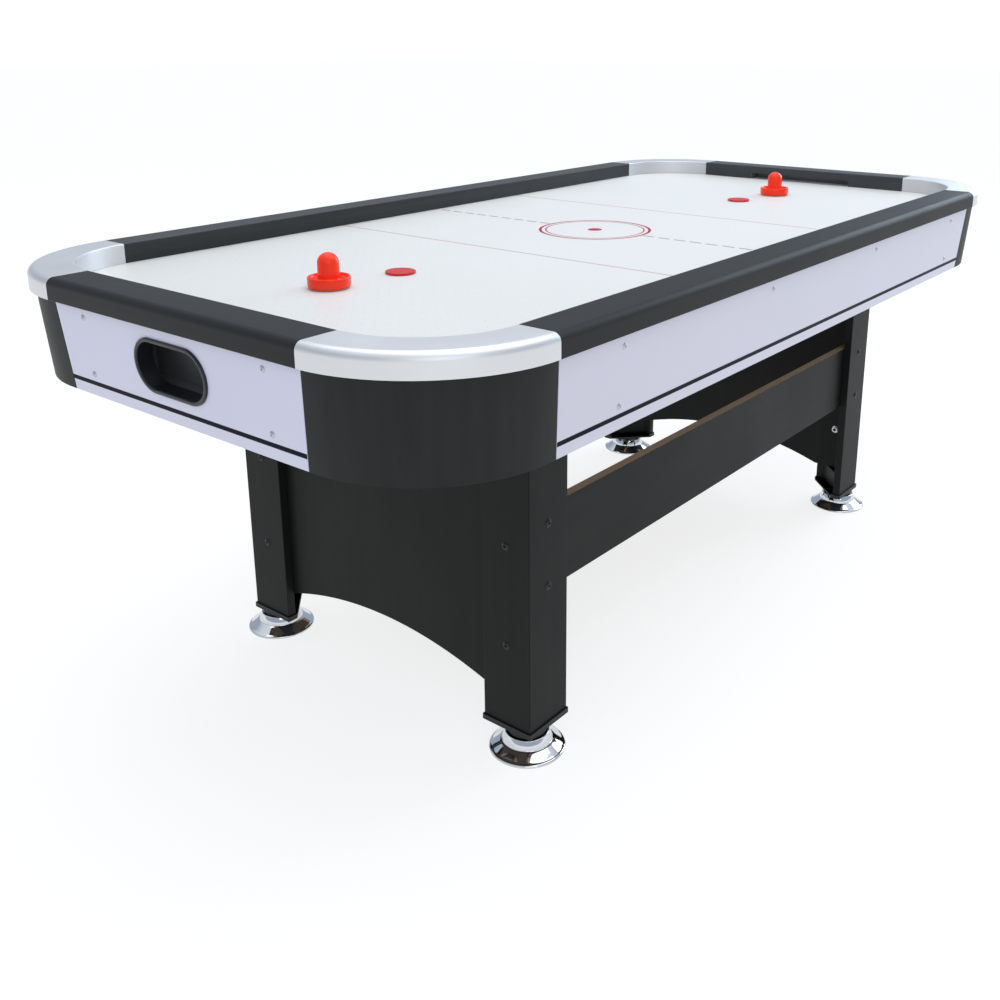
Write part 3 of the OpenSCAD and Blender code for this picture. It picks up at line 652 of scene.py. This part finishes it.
def caps():
    for name, (sx, sy) in CORNERS.items():
        b = Build()
        st = [((0.0, 0.15 + s), i) for s, i in rim(0, 100, 0.5)[:4]]
        st += [((math.radians(a), 0), 0) for a in [1.2] + [90 * k / 56 for k in range(1, 56)] + [88.8]]
        st += [((math.pi / 2, -0.15 - s), i) for s, i in reversed(rim(0, 100, 0.5)[:4])]

        def place(s, u, v, sx=sx, sy=sy):
            a, t = s
            rho = CR - RW + u
            return (sx * (HX - CR + rho * math.cos(a) - t * math.sin(a)), sy * (HY - CR + rho * math.sin(a) + t * math.cos(a)), ZF + v)

        sweep(b, RAIL, st, place)
        piece(f"corner_cap_{name}_look", b, M_SILVER, nodes=f"corner_cap_{name}")


# ------------------------------------------------------------------ aprons and corner panels
def seam(z, extra=0.0):
    """How far along from the corner the long apron's seam lies at a height."""
    return 247 + (ZF - z) / AH * 10.5 + extra


def end_seam(z, extra=0.0):
    """The same for an end apron."""
    return 241.5 + (ZF - z) / AH * 11 + extra


def corner_panels():
    for name, (sx, sy) in CORNERS.items():
        b = Build()
        zs = [ZF, ZF - 50, ZF - 100, ZF - AH]

        def path(z, depth):
            ins = inset(z) + depth
            r = CR - ins
            pts = []
            x0 = HX - seam(z)
            for k in range(3):
                pts.append((x0 + (HX - CR - x0) * k / 3, HY - ins))
            for k in range(49):
                a = math.radians(90 - 90 * k / 48)
                pts.append((HX - CR + r * math.cos(a), HY - CR + r * math.sin(a)))
            y0 = HY - end_seam(z)
            for k in range(1, 4):
                pts.append((HX - ins, HY - CR + (y0 - (HY - CR)) * k / 3))
            return [(sx * x, sy * y, z) for x, y in pts]

        outer = [path(z, 0.0) for z in zs]
        inner = [path(z, 7.0) for z in reversed(zs)]
        rows = outer + inner
        n = len(rows[0])
        b.rings(rows, closed_u=False, caps=False, loop=True)
        m = len(rows)
        # the two end edges
        base = 0
        for e in (0, n - 1):
            for i in range(len(zs) - 1):
                b.f.append((i * n + e, (i + 1) * n + e, (m - 2 - i) * n + e, (m - 1 - i) * n + e)); b.m.append(0)
        o = piece(f"corner_panel_{name}_look", b, M_PANEL, nodes=f"corner_panel_{name}", weighted=True)
        bevel_object(o, 0.6)


def bevel_object(o, r, segs=2, angle=50):
    bm = bmesh.new()
    bm.from_mesh(o.data)
    lim = math.radians(angle)
    edges = [e for e in bm.edges if len(e.link_faces) == 2 and e.calc_face_angle(0) > lim]
    bmesh.ops.bevel(bm, geom=edges, offset=r / 1000, offset_type="OFFSET", segments=segs, profile=0.5, affect="EDGES", clamp_overlap=True)
    for f in bm.faces:
        f.smooth = True
    bm.to_mesh(o.data)
    bm.free()
    o.data.set_sharp_from_angle(angle=math.radians(40))


STRIPE = (645.4, 652.8)


def apron_pick(c, n):
    return 1 if c.z < 649 else 0


def aprons():
    cuts = [((0, 0, 649.0), (0, 0, 1))]
    for name, s in (("right", -1), ("left", 1)):
        b = Build()
        out = [(HX - seam(ZF, 0.6), ZF), (-(HX - seam(ZF, 0.6)), ZF), (-(HX - seam(ZF - AH, 0.6)), ZF - AH), (HX - seam(ZF - AH, 0.6), ZF - AH)]
        sweep(b, fillet(out, 0.8, 3), rim(0, 12, 0.7), lambda t, x, z, s=s: (x, s * (HY - inset(z) - t), z))
        # the long aprons take the painted-shade copies of the lilac board and its band
        piece(f"long_apron_{name}_look", b, [M_APRON_LONG_PAINTED_SHADE, M_APRON_LONG_BAND_PAINTED_SHADE], nodes=f"long_apron_{name}", by_face=apron_pick, cuts=cuts)
        stripe(f"long_stripe_{name}", lambda x, z, t, s=s: (x, s * (HY - inset(z) + t), z), lambda z: HX - seam(z, 0.9), 0)
    hole = obround(162 + 6.4, 74 + 6.4, 24)
    for name, s in (("near", -1), ("far", 1)):
        b = Build()
        out = [(HY - end_seam(ZF, 0.6), ZF), (-(HY - end_seam(ZF, 0.6)), ZF), (-(HY - end_seam(ZF - AH, 0.6)), ZF - AH), (HY - end_seam(ZF - AH, 0.6), ZF - AH)]
        hz = [(u, 713 + v) for u, v in hole]
        holed(b, fillet(out, 0.8, 3), [hz], 0, 12, 0.7, lambda t, y, z, s=s: (s * (HX - inset(z) - t), y, z))
        piece(f"end_apron_{name}_look", b, [M_APRON, M_APRON_W], nodes=f"end_apron_{name}", by_face=apron_pick, cuts=cuts)
        stripe(f"end_stripe_{name}", lambda y, z, t, s=s: (s * (HX - inset(z) + t), y, z), lambda z: HY - end_seam(z, 0.9), 1)


def stripe(name, place, half, axis):
    """A navy tape laid on the apron face."""
    b = Build()
    z0, z1 = STRIPE
    rings = []
    n = 40
    for k in range(n + 1):
        f = -1 + 2 * k / n
        rings.append([place(f * half(z), z, t) for z, t in ((z0, 0.02), (z1, 0.02), (z1, 0.10), (z1 - 0.1, 0.14), (z0 + 0.1, 0.14), (z0, 0.10))])
    b.rings(rings)
    piece(name, b, M_NAVY)


# ------------------------------------------------------------------ goal pockets
def pocket(s, x, y, z):
    """A point of the pocket's own frame: x outwards along the tilted axis, z up the slanted face."""
    c, t = math.cos(TILT), math.sin(TILT)
    return (s * (HX - inset(713) + x * c + z * t), y, 713 - x * t + z * c)


def goals():
    for name, s in (("near", -1), ("far", 1)):
        b = Build()
        prof = fillet([(0, -24), (2.3, -24), (2.3, 0.02), (7, 0.02), (7, 4), (0, 4)], [0.4, 0.4, 0, 0.3, 2.0, 2.6], n=5)
        line = []
        n = 26
        for sgn, a0 in ((1, -90), (-1, 90)):
            for k in range(n + 1):
                a = math.radians(a0 + 180 * k / n)
                line.append((sgn * 44, math.cos(a), math.sin(a)))
        rings = [[pocket(s, x, cy + (37 + rho) * ca, (37 + rho) * sa) for rho, x in prof] for cy, ca, sa in line]
        b.rings(rings, caps=False, loop=True)
        # the box behind: floor, back, two sides, and a front wall with the pocket's opening
        def wall(x0, x1, y0, y1, z0, z1):
            w, h, d = x1 - x0, y1 - y0, z1 - z0
            k = min((w, 0), (h, 1), (d, 2))[1]
            if k == 0:
                sweep(b, fillet([(y0, z0), (y1, z0), (y1, z1), (y0, z1)], 0.3, 2), rim(x0, x1, 0.3, 2), lambda q, u, v: (s * q, u, v))
            elif k == 1:
                sweep(b, fillet([(x0, z0), (x1, z0), (x1, z1), (x0, z1)], 0.3, 2), rim(y0, y1, 0.3, 2), lambda q, u, v: (s * u, q, v))
            else:
                sweep(b, fillet([(x0, y0), (x1, y0), (x1, y1), (x0, y1)], 0.3, 2), rim(z0, z1, 0.3, 2), lambda q, u, v: (s * u, v, q))
        wall(972, 1034.5, -158, 158, 660, 663)
        wall(972, 975, -158, 158, 663, 764.9)
        wall(975, 1031.5, -158, -155, 663, 764.9)
        wall(975, 1031.5, 155, 158, 663, 764.9)
        front = fillet([(-158, 663), (158, 663), (158, 764.9), (-158, 764.9)], 0.3, 2)
        holed(b, front, [[(u, 714.6 + v) for u, v in obround(162 + 5.2, 74 + 5.2, 26)]], 1031.5, 1034.5, 0.3, lambda q, u, v: (s * q, u, v), n=2)
        # faces inside the goal box (|x| < 1012) take the painted-light copy of the goal plastic
        piece(f"goal_box_{name}_look", b, [M_GOAL, M_GOAL_IN_PAINTED_LIGHT], nodes=f"goal_box_{name}", sharp=35, by_face=lambda c, n: 1 if abs(c.x) < 1012 else 0)


# ------------------------------------------------------------------ playfield
def playfield():
    b = Build()
    P = 25.4
    cells = set()
    for i in range(-38, 39):
        for j in range(-18, 19):
            ok = True
            for di in (-0.5, 0.5):
                for dj in (-0.5, 0.5):
                    x, y = abs((i + di) * P), abs((j + dj) * P)
                    if x > 994 - 5 or y > 467 - 5:
                        ok = False
                    elif x > HX - CR and y > HY - CR and math.hypot(x - (HX - CR), y - (HY - CR)) > 166 - 5:
                        ok = False
            if ok:
                cells.add((i, j))
    key, verts = {}, []

    def vid(p):
        q = (round(p[0], 3), round(p[1], 3))
        if q not in key:
            key[q] = len(verts)
            verts.append((q[0], q[1], ZF))
        return key[q]

    faces, mats = [], []
    R = 0.7
    octo = [(math.cos(math.radians(-67.5 - 45 + 45 * k)), math.sin(math.radians(-67.5 - 45 + 45 * k))) for k in range(8)]
    edges = {}
    for i, j in sorted(cells):
        cx, cy = i * P, j * P
        c = [vid((cx + a * P / 2, cy + e * P / 2)) for a, e in ((-1, -1), (1, -1), (1, 1), (-1, 1))]
        t = len(verts)
        verts.extend((cx + R * u, cy + R * v, ZF) for u, v in octo)
        w = len(verts)
        verts.extend((cx + R * u, cy + R * v, ZF - 3.0) for u, v in octo)
        # octo[0], octo[1] face -Y, then +X, +Y, -X
        for k in range(4):
            a, e = c[k], c[(k + 1) % 4]
            o0, o1 = t + 2 * k, t + (2 * k + 1) % 8
            faces.append((a, e, o1, o0)); mats.append(0)
            faces.append((e, t + (2 * k + 2) % 8, o1)); mats.append(0)
            edges[(a, e)] = edges.get((a, e), 0) + 1
        # hole walls and a closed bottom 3 mm down, in the painted-shade grey that stands in for the dark hole
        for k in range(8):
            l = (k + 1) % 8
            faces.append((t + k, t + l, w + l, w + k)); mats.append(1)
        faces.append(tuple(w + k for k in range(8))); mats.append(1)
    border = {a: e for (a, e) in edges if (e, a) not in edges}
    start = next(iter(sorted(border)))
    loop, cur = [start], border[start]
    while cur != start:
        loop.append(cur)
        cur = border[cur]
    assert len(loop) == len(border)
    # the rest of the board round the perforated middle
    outline = []
    for sx, sy, a0 in ((1, 1, 0), (-1, 1, 90), (-1, -1, 180), (1, -1, 270)):
        for k in range(33):
            a = math.radians(a0 + 90 * k / 32)
            outline.append((sx * (HX - CR) + (CR - 25) * math.cos(a), sy * (HY - CR) + (CR - 25) * math.sin(a)))
    slots = [fillet([(s * 1015 - 15, -150), (s * 1015 + 15, -150), (s * 1015 + 15, 150), (s * 1015 - 15, 150)], 4, 4) for s in (-1, 1)]
    r = 0.6
    st = rim(ZF, ZU, r, 3)
    rings_top = {}
    loops = [outline] + slots
    top_loops, bot_loops = [], []
    for li, lp in enumerate(loops):
        lp = ccw(lp)
        idx = []
        for z, i in st:
            row = []
            for x, y in offset(lp, i if li == 0 else -i):
                row.append(len(verts)); verts.append((x, y, z))
            idx.append(row)
        n = len(lp)
        for p, q in zip(idx, idx[1:]):
            for k in range(n):
                l = (k + 1) % n
                faces.append((p[k], p[l], q[l], q[k])); mats.append(0)
        top_loops.append(idx[0]); bot_loops.append(idx[-1])
    for group in ([top_loops[0], loop, top_loops[1], top_loops[2]], bot_loops):
        flat = [[Vector((verts[k][0], verts[k][1], 0)) for k in g] for g in group]
        names = [k for g in group for k in g]
        for t in tessellate_polygon(flat):
            faces.append(tuple(names[k] for k in t)); mats.append(0)
    b.v, b.f, b.m = verts, faces, mats
    piece("playfield_look", b, [M_FIELD, M_HOLE_PAINTED_SHADE], nodes="playfield", weld=0.0005)


def marks():
    z0, z1 = ZF + 0.01, ZF + 0.07

    def ring(b, r0, r1, cx=0.0, cy=0.0, n=128):
        prof = [(r0, z0), (r1, z0), (r1, z1), (r0, z1)]
        b.rings([[(cx + r * math.cos(2 * math.pi * k / n), cy + r * math.sin(2 * math.pi * k / n), z) for r, z in prof] for k in range(n)], caps=False, loop=True)

    b = Build()
    ring(b, 115.0, 121.0)
    ring(b, 104.5, 107.5)
    lathe(b, [(0, z0), (15.5, z0), (15.5, z1), (0, z1)], 0, 0, segs=64)
    piece("centre_circle_print", b, M_RED_INK, sharp=60)

    def bar(b, x, y0, y1, w):
        sweep(b, [(x - w / 2, y0), (x + w / 2, y0), (x + w / 2, y1), (x - w / 2, y1)], [(z0, 0), (z1, 0)], lambda z, u, v: (u, v, z))

    b = Build()
    for x in (-300, 300):
        bar(b, x, -467, 467, 4.2)
    piece("thin_lines_print", b, M_PINK_INK, sharp=60)
    b = Build()
    y = 124.0
    while y + 27 < 467:
        for s in (-1, 1):
            lo, hi = sorted((s * y, s * (y + 27)))
            bar(b, 0, lo, hi, 6.5)
        y += 37.6
    piece("dashed_line_print", b, M_GREY_INK, sharp=60)


# ------------------------------------------------------------------ leg frame
def legs():
    for name, (sx, sy) in CORNERS.items():
        b = Build()
        pts = [(LX, LY), (LX - LW, LY), (LX - LW, LY - BT), (LX - BT, LY - BT), (LX - BT, LY - LW), (LX, LY - LW)]
        sweep(b, fillet(pts, [2.0, 1.2, 1.2, 0.4, 1.2, 1.2], 4), rim(46.5, ZL, 0.6), lambda z, x, y, sx=sx, sy=sy: (sx * x, sy * y, z))
        piece(f"leg_{name}_look", b, M_LAM_Z, nodes=f"leg_{name}")
    # foot caps
    b = Build()
    for sx, sy in CORNERS.values():
        def pl(z, x, y, sx=sx, sy=sy):
            return (sx * x, sy * y, z)
        d = 3.0
        out = [(LX + d, LY + d), (LX - LW - d, LY + d), (LX - LW - d, LY - BT - 1.2), (LX - BT - 1.2, LY - LW - d), (LX + d, LY - LW - d)]
        hole = [(LX - FI + 9 * math.cos(2 * math.pi * k / 40), LY - FI + 9 * math.sin(2 * math.pi * k / 40)) for k in range(40)]
        holed(b, fillet(out, [2.5, 2.5, 1.5, 1.5, 2.5], 4), [hole], 42.5, 46.5, 1.0, pl)
        # rim round the boards: a C whose gap is the open diagonal
        def on_diag_x(x):
            (x0, y0), (x1, y1) = out[2], out[3]
            return (x, y0 + (y1 - y0) * (x - x0) / (x1 - x0))
        def on_diag_y(y):
            (x0, y0), (x1, y1) = out[2], out[3]
            return (x0 + (x1 - x0) * (y - y0) / (y1 - y0), y)
        c = [out[2], on_diag_x(LX - LW - 0.1), (LX - LW - 0.1, LY + 0.1), (LX + 0.1, LY + 0.1), (LX + 0.1, LY - LW - 0.1), on_diag_y(LY - LW - 0.1), out[3], out[4], out[0], out[1]]
        sweep(b, fillet(c, [0.4, 0.2, 0.1, 0.1, 0.1, 0.2, 0.4, 2.5, 2.5, 2.5], 4), rim(46.4, 52.5, 0.5), pl)
        ring = [(9, 35), (33.2, 35), (34, 35.8), (34, 42.6), (9, 42.6)]
        n = 72
        cx, cy = LX - FI, LY - FI
        b.rings([[(sx * (cx + r * math.cos(2 * math.pi * k / n)), sy * (cy + r * math.sin(2 * math.pi * k / n)), z) for r, z in ring] for k in range(n)], caps=False, loop=True)
    piece("leg_caps_look", b, M_CAP, nodes="leg_caps")


FOOT = [(64.5, 0), (66.2, 0.9), (66.5, 2.4), (66.1, 4.2), (64.6, 5.6), (61.5, 7.0), (58, 9.3), (53.5, 12.3), (49, 15.2), (46.2, 16.8), (44.2, 17.6), (43.4, 18.6),
        (43.0, 20.4), (42.4, 23.0), (41.4, 26.2), (40.0, 29.6), (38.8, 32.2), (38.2, 33.4), (37.2, 34.0), (36.2, 33.6), (35.5, 32.2), (35.2, 30.2)]


def feet():
    for name, (sx, sy) in CORNERS.items():
        cx, cy = sx * (LX - FI), sy * (LY - FI)
        b = Build()
        prof = [(0, 0)] + [(60, 0)] + catmull(FOOT, 4) + [(34.0, 29.6), (8, 29.4), (0, 29.4)]
        lathe(b, prof, cx, cy, segs=128)
        # threaded stem: rings follow the helix
        n, pitch, z0, z1 = 28, 1.5, 29.0, 84.2
        per = 4
        rows = int((z1 - z0) / pitch * per)
        rings = []
        for i in range(rows + 1):
            ring = []
            for k in range(n):
                z = z0 + (z1 - z0) * i / rows
                ph = ((z - z0) / pitch - k / n) % 1.0
                r = 4.25 + 0.7 * (1 - abs(2 * ph - 1)) * min(1.0, (z1 - z) / 2 + 0.1)
                a = 2 * math.pi * k / n
                ring.append((cx + r * math.cos(a), cy + r * math.sin(a), z))
            rings.append(ring)
        rings.append([(cx + 3.4 * math.cos(2 * math.pi * k / n), cy + 3.4 * math.sin(2 * math.pi * k / n), z1 + 0.75) for k in range(n)])
        b.rings(rings)
        piece(f"leveler_{name}_look", b, M_CHROME, body=f"leveler_{name}", nodes=f"leveler_{name}", sharp=55, weighted=False)


def frame_boards():
    a, rise = LY - LW, 141 - 98
    rad = (a * a + rise * rise) / (2 * rise)
    for name, s in (("near", -1), ("far", 1)):
        b = Build()
        pts = [(-345, ZL), (-345, 98), (-262, 98)]
        half = math.asin(a / rad)
        n = 64
        arch = [(rad * math.sin(-half + 2 * half * k / n), 141 - rad + rad * math.cos(-half + 2 * half * k / n)) for k in range(n + 1)]
        pts = [(-345, ZL), (-345, 98)] + arch + [(345, 98), (345, ZL)]
        sweep(b, pts, rim(LX - 2 * BT, LX - BT, 0.8), lambda x, y, z, s=s: (s * x, y, z))
        piece(f"end_panel_{name}_look", b, M_LAM_Z, nodes=f"end_panel_{name}", sharp=35)
    for name, s in (("right", -1), ("left", 1)):
        b = Build()
        pts = fillet([(-642, 288), (642, 288), (642, 439), (-642, 439)], 0.5, 2)
        sweep(b, pts, rim(LY - 2 * BT, LY - BT, 0.5), lambda y, x, z, s=s: (x, s * y, z))
        # the raw edges take the fibreboard tan lightened as painted light
        piece(f"stretcher_{name}_look", b, [M_LAM_X, M_MDF_TAN_AND_PAINTED_LIGHT], nodes=f"stretcher_{name}",
              by_face=lambda c, n: 1 if abs(n.z) > 0.8 or abs(n.x) > 0.8 else 0)


# ------------------------------------------------------------------ screws and bolts
def head(b, at, out, r, h, drive, depth=1.6, shank=(2.1, 30), segs=32):
    """A domed head with a cross or hexagon drive, axis out from at, and its shank behind."""
    out = Vector(out).normalized()
    side = out.orthogonal().normalized()
    up = Vector((0, 0, 1))
    if abs(out.z) < 0.9:
        side = up.cross(out).normalized()
    other = out.cross(side)
    at = Vector(at)

    def P(x, y, z):
        return tuple(at + side * x + other * y + out * z)

    if drive == "cross":
        k, l = 0.42, 1.95
        hole = [(k, k), (l, k * 0.8), (l, -k * 0.8), (k, -k), (k * 0.8, -l), (-k * 0.8, -l), (-k, -k), (-l, -k * 0.8), (-l, k * 0.8), (-k, k), (-k * 0.8, l), (k * 0.8, l)]
        r_in = 2.6
    else:
        hole = [(2.5 * math.cos(math.radians(60 * q + 30)), 2.5 * math.sin(math.radians(60 * q + 30))) for q in range(6)]
        r_in = 3.6
    hole = ccw(hole)
    R = (r * r + h * h) / (2 * h)
    rows = []
    rows.append((r, 0.0)); rows.append((r, 0.25))
    for q in range(1, 6):
        rr = r + (r_in - r) * q / 5
        rows.append((rr, max(0.25, h - (R - math.sqrt(R * R - rr * rr)))))
    zin = rows[-1][1]
    circ = lambda rr, z: [P(rr * math.cos(2 * math.pi * q / segs), rr * math.sin(2 * math.pi * q / segs), z) for q in range(segs)]
    base = len(b.v)
    rings = [circ(shank[0] * 0.4, -shank[1] - shank[0]), circ(shank[0], -shank[1]), circ(shank[0], 0.0)] + [circ(rr, z) for rr, z in rows]
    b.rings(rings, caps=False)
    b.f.append(tuple(base + q for q in range(segs))); b.m.append(0)
    last = base + (len(rings) - 1) * segs
    top = [P(x, y, zin) for x, y in hole]
    low = [P(x * 0.8, y * 0.8, zin - depth) for x, y in hole]
    n = len(hole)
    hb = b.add(top + low, [(q, (q + 1) % n, n + (q + 1) % n, n + q) for q in range(n)] + [tuple(n + q for q in range(n))])
    flat = [[Vector((r_in * math.cos(2 * math.pi * q / segs), r_in * math.sin(2 * math.pi * q / segs), 0)) for q in range(segs)], [Vector((x, y, 0)) for x, y in hole]]
    names = [last + q for q in range(segs)] + [hb + q for q in range(n)]
    for t in tessellate_polygon(flat):
        b.f.append(tuple(names[q] for q in t)); b.m.append(0)


def fasteners():
    b = Build()
    c, t = math.cos(TILT), math.sin(TILT)
    for s in (-1, 1):
        for x, z in [(x, ZF - 20) for x in (-665, -205, 255, 712)] + [(x, ZF - 112) for x in (-665, 712)]:
            head(b, (x, s * (HY - inset(z)), z), (0, s * c, -t), 5.2, 2.7, "cross", shank=(2.05, 31))
        for y in (-220, 220):
            for z in (ZF - 18, ZF - 112):
                head(b, (s * (HX - inset(z)), y, z), (s * c, 0, -t), 5.2, 2.7, "cross", shank=(2.05, 31))
    piece("apron_screws_look", b, M_SCREW, nodes="apron_screws", sharp=35)
    b = Build()
    for sx, sy in CORNERS.values():
        for z in (310, 422):
            head(b, (sx * (LX - 50), sy * LY, z), (0, sy, 0), 7.4, 3.2, "hex", depth=2.2, shank=(3.95, 43))
        for z in (203, 385):
            head(b, (sx * LX, sy * (LY - 50), z), (sx, 0, 0), 7.4, 3.2, "hex", depth=2.2, shank=(3.95, 43))
    piece("leg_bolts_look", b, M_BOLT, nodes="leg_bolts", sharp=35)
    b = Build()
    for sx, sy in CORNERS.values():
        head(b, (sx * 98, sy * 98, ZL - 4), (0, 0, -1), 4.5, 2.4, "cross", shank=(2.05, 10))
    piece("blower_screws_look", b, M_ZINC, nodes="blower_screws", sharp=35)


# ------------------------------------------------------------------ mallets and pucks
def play_pieces():
    skirt = [(32.0, 0.05), (34.2, 0.7), (35.4, 2.2), (35.9, 4.4), (36.0, 7.5), (36.0, 12.0), (35.95, 15.8), (35.6, 17.6), (34.6, 18.55), (33.4, 18.3), (32.6, 17.2), (32.0, 15.4),
             (31.0, 13.6), (29.0, 12.8), (25.5, 12.6), (22.0, 12.8), (19.8, 13.5), (18.7, 15.0), (18.25, 17.5)]
    dome = [(18.2 * math.cos(math.radians(a)), 40.5 + 18 * math.sin(math.radians(a))) for a in range(0, 90, 5)]
    for name, x, y in (("near", -732, 18), ("far", 722, -62)):
        b = Build()
        prof = [(0, 0), (29, 0)] + catmull(skirt, 3) + [(18.2, 24), (18.2, 32)] + dome + [(0, 58.5)]
        lathe(b, prof, x, y, ZF + 1.5, segs=112)
        piece(f"mallet_{name}_look", b, M_MALLET, body=f"mallet_{name}", nodes=f"mallet_{name}", sharp=50, weighted=False)
        b = Build()
        lathe(b, [(0, 0), (30.3, 0), (30.8, 0.2), (31.0, 0.6), (30.9, 1.1), (30.5, 1.2), (0, 1.2)], x, y, ZF + 0.3, segs=96)
        piece(f"mallet_{name}_felt_look", b, M_FELT, body=f"mallet_{name}", nodes=f"mallet_{name}_felt", sharp=50)
    for name, x, y in (("near", -577, 8), ("far", 571, -39)):
        b = Build()
        lathe(b, [(0, 0.15), (23.5, 0.15), (24, 0), (26.2, 0), (26.8, 0.25), (27, 0.8), (27, 3.2), (26.8, 3.75), (26.2, 4.0), (24.2, 4.0), (23.7, 3.8), (0, 3.8)], x, y, ZF + 0.3, segs=112)
        piece(f"puck_{name}_look", b, M_PUCK, body=f"puck_{name}", nodes=f"puck_{name}", sharp=50)


# ------------------------------------------------------------------ inner and underside pieces
def inner():
    refine("plenum_side_boards", M_PINE_X, 0.8)
    refine("plenum_end_boards", M_PINE_Y, 0.8)
    refine("plenum_ribs", M_PINE_Y, 0.6)
    refine("bottom_panel", M_HARD_DARK_AND_PAINTED_SHADE, 0.8)
    refine("apron_blocks", M_PINE_Y, 0.8)
    refine("leg_blocks", M_LAM_Z, 0.6)
    refine("leveler_nuts", M_ZINC, 0.25)
    refine("leg_nuts", M_ZINC, 0.3)
    refine("leg_brackets", M_ZINC, 0.4)
    refine("blower_housing", M_CAP, 1.0, 3)
    refine("fan_motor", M_MOTOR, 0.8)
    refine("fan_shaft", M_ZINC, 0.4)
    refine("impeller", M_NYLON, 0.25)
    refine("intake_grille", M_CAP, 0.5)
    refine("switch_box", M_CAP, 0.6)
    refine("rocker_switch", M_ROCKER, 0.6, 3)
    refine("power_inlet", M_GOAL, 0.4)


# ------------------------------------------------------------------ camera, floor, light
def camera():
    f, px, py = CAM["f"], CAM["px"], CAM["py"]
    yaw, pitch, roll = CAM["yaw"], CAM["pitch"], CAM["roll"]
    fwd = Vector((math.cos(pitch) * math.cos(yaw), math.cos(pitch) * math.sin(yaw), math.sin(pitch)))
    right = fwd.cross(Vector((0, 0, 1))).normalized()
    up = right.cross(fwd)
    r2 = right * math.cos(roll) + up * math.sin(roll)
    u2 = up * math.cos(roll) - right * math.sin(roll)
    cam = bpy.data.objects.new("camera", bpy.data.cameras.new("camera"))
    bpy.context.scene.collection.objects.link(cam)
    m = Matrix.Identity(4)
    for i in range(3):
        m[i][0], m[i][1], m[i][2] = r2[i], u2[i], -fwd[i]
        m[i][3] = (CAM["cx"], CAM["cy"], CAM["cz"])[i] / 1000
    cam.matrix_world = m
    cam.data.sensor_width = 36
    cam.data.lens = 36 * f / 1000
    cam.data.shift_x = (500 - px) / 1000
    cam.data.shift_y = (py - 500) / 1000
    cam.data.clip_end = 200
    bpy.context.scene.camera = cam


CAM = dict(f=1089.112, px=545.00, py=350.00, yaw=0.665248, pitch=-0.281107, roll=-0.000226, cx=-1902.08, cy=-1355.43, cz=1179.62)


def area_light(name, loc, target, size, power, color=(1, 1, 1), size_y=None):
    l = bpy.data.lights.new(name, "AREA")
    l.shape = "RECTANGLE"
    l.size, l.size_y = size, size_y or size
    l.energy, l.color = power, color
    o = bpy.data.objects.new(name, l)
    bpy.context.scene.collection.objects.link(o)
    o.location = loc
    o.rotation_euler = (Vector(target) - Vector(loc)).to_track_quat("-Z", "Y").to_euler()
    return o


def studio():
    me = bpy.data.meshes.new("floor")
    s = 40
    me.from_pydata([(-s, -s, -0.0004), (s, -s, -0.0004), (s, s, -0.0004), (-s, s, -0.0004)], [], [(0, 1, 2, 3)])
    floor = bpy.data.objects.new("floor", me)
    bpy.context.scene.collection.objects.link(floor)
    m = bpy.data.materials.new("floor_white")
    m.use_nodes = True
    p = m.node_tree.nodes["Principled BSDF"]
    p.inputs["Base Color"].default_value = (0.28, 0.28, 0.28, 1)
    p.inputs["Roughness"].default_value = 0.9
    p.inputs["Specular IOR Level"].default_value = 0.0
    p.inputs["Emission Color"].default_value = (1, 1, 1, 1)
    p.inputs["Emission Strength"].default_value = FLOOR_GLOW
    me.materials.append(m)
    w = bpy.data.worlds.new("studio")
    bpy.context.scene.world = w
    w.use_nodes = True
    nt = w.node_tree
    bg = nt.nodes["Background"]
    co = nt.nodes.new("ShaderNodeTexCoord")
    sep = nt.nodes.new("ShaderNodeSeparateXYZ")
    ramp = nt.nodes.new("ShaderNodeValToRGB")
    nt.links.new(co.outputs["Generated"], sep.inputs[0])
    nt.links.new(sep.outputs["Z"], ramp.inputs["Fac"])
    el = ramp.color_ramp.elements
    stops = WORLD
    while len(el) < len(stops):
        el.new(0.5)
    for e, (q, c) in zip(el, stops):
        e.position, e.color = q, (*c, 1)
    nt.links.new(ramp.outputs["Color"], bg.inputs["Color"])
    bg.inputs["Strength"].default_value = WORLD_POWER
    for l in LIGHTS:
        area_light(*l)
    bpy.context.scene.view_settings.view_transform = "Standard"
    bpy.context.scene.view_settings.look = "None"
    bpy.context.scene.view_settings.exposure = 0.0
    bpy.context.scene.view_settings.gamma = 1.0


FLOOR_GLOW = 0.785
WORLD_POWER = 1.0
WORLD = [(0.0, (1.05, 1.05, 1.05)), (0.045, (1.05, 1.05, 1.05)), (0.09, (0.44, 0.50, 0.58)), (0.50, (0.42, 0.48, 0.57)), (0.75, (0.85, 0.90, 0.97)), (1.0, (0.95, 0.97, 1.0))]
LIGHTS = [
    ("top", (0.2, 0.0, 3.4), (0.0, 0.0, 0.7), 4.2, 52, (1.0, 0.995, 0.985), 3.2),
    ("front", (-2.8, -3.0, 2.2), (-0.3, -0.2, 0.6), 2.2, 18, (1.0, 0.985, 0.965), 1.6),
    ("sky", (3.5, -0.9, 2.0), (0.3, -0.54, 0.8), 2.1, 60, (0.74, 0.87, 1.0), 1.8),
]

rails()
caps()
corner_panels()
aprons()
goals()
playfield()
marks()
legs()
feet()
frame_boards()
fasteners()
play_pieces()
inner()
camera()
studio()
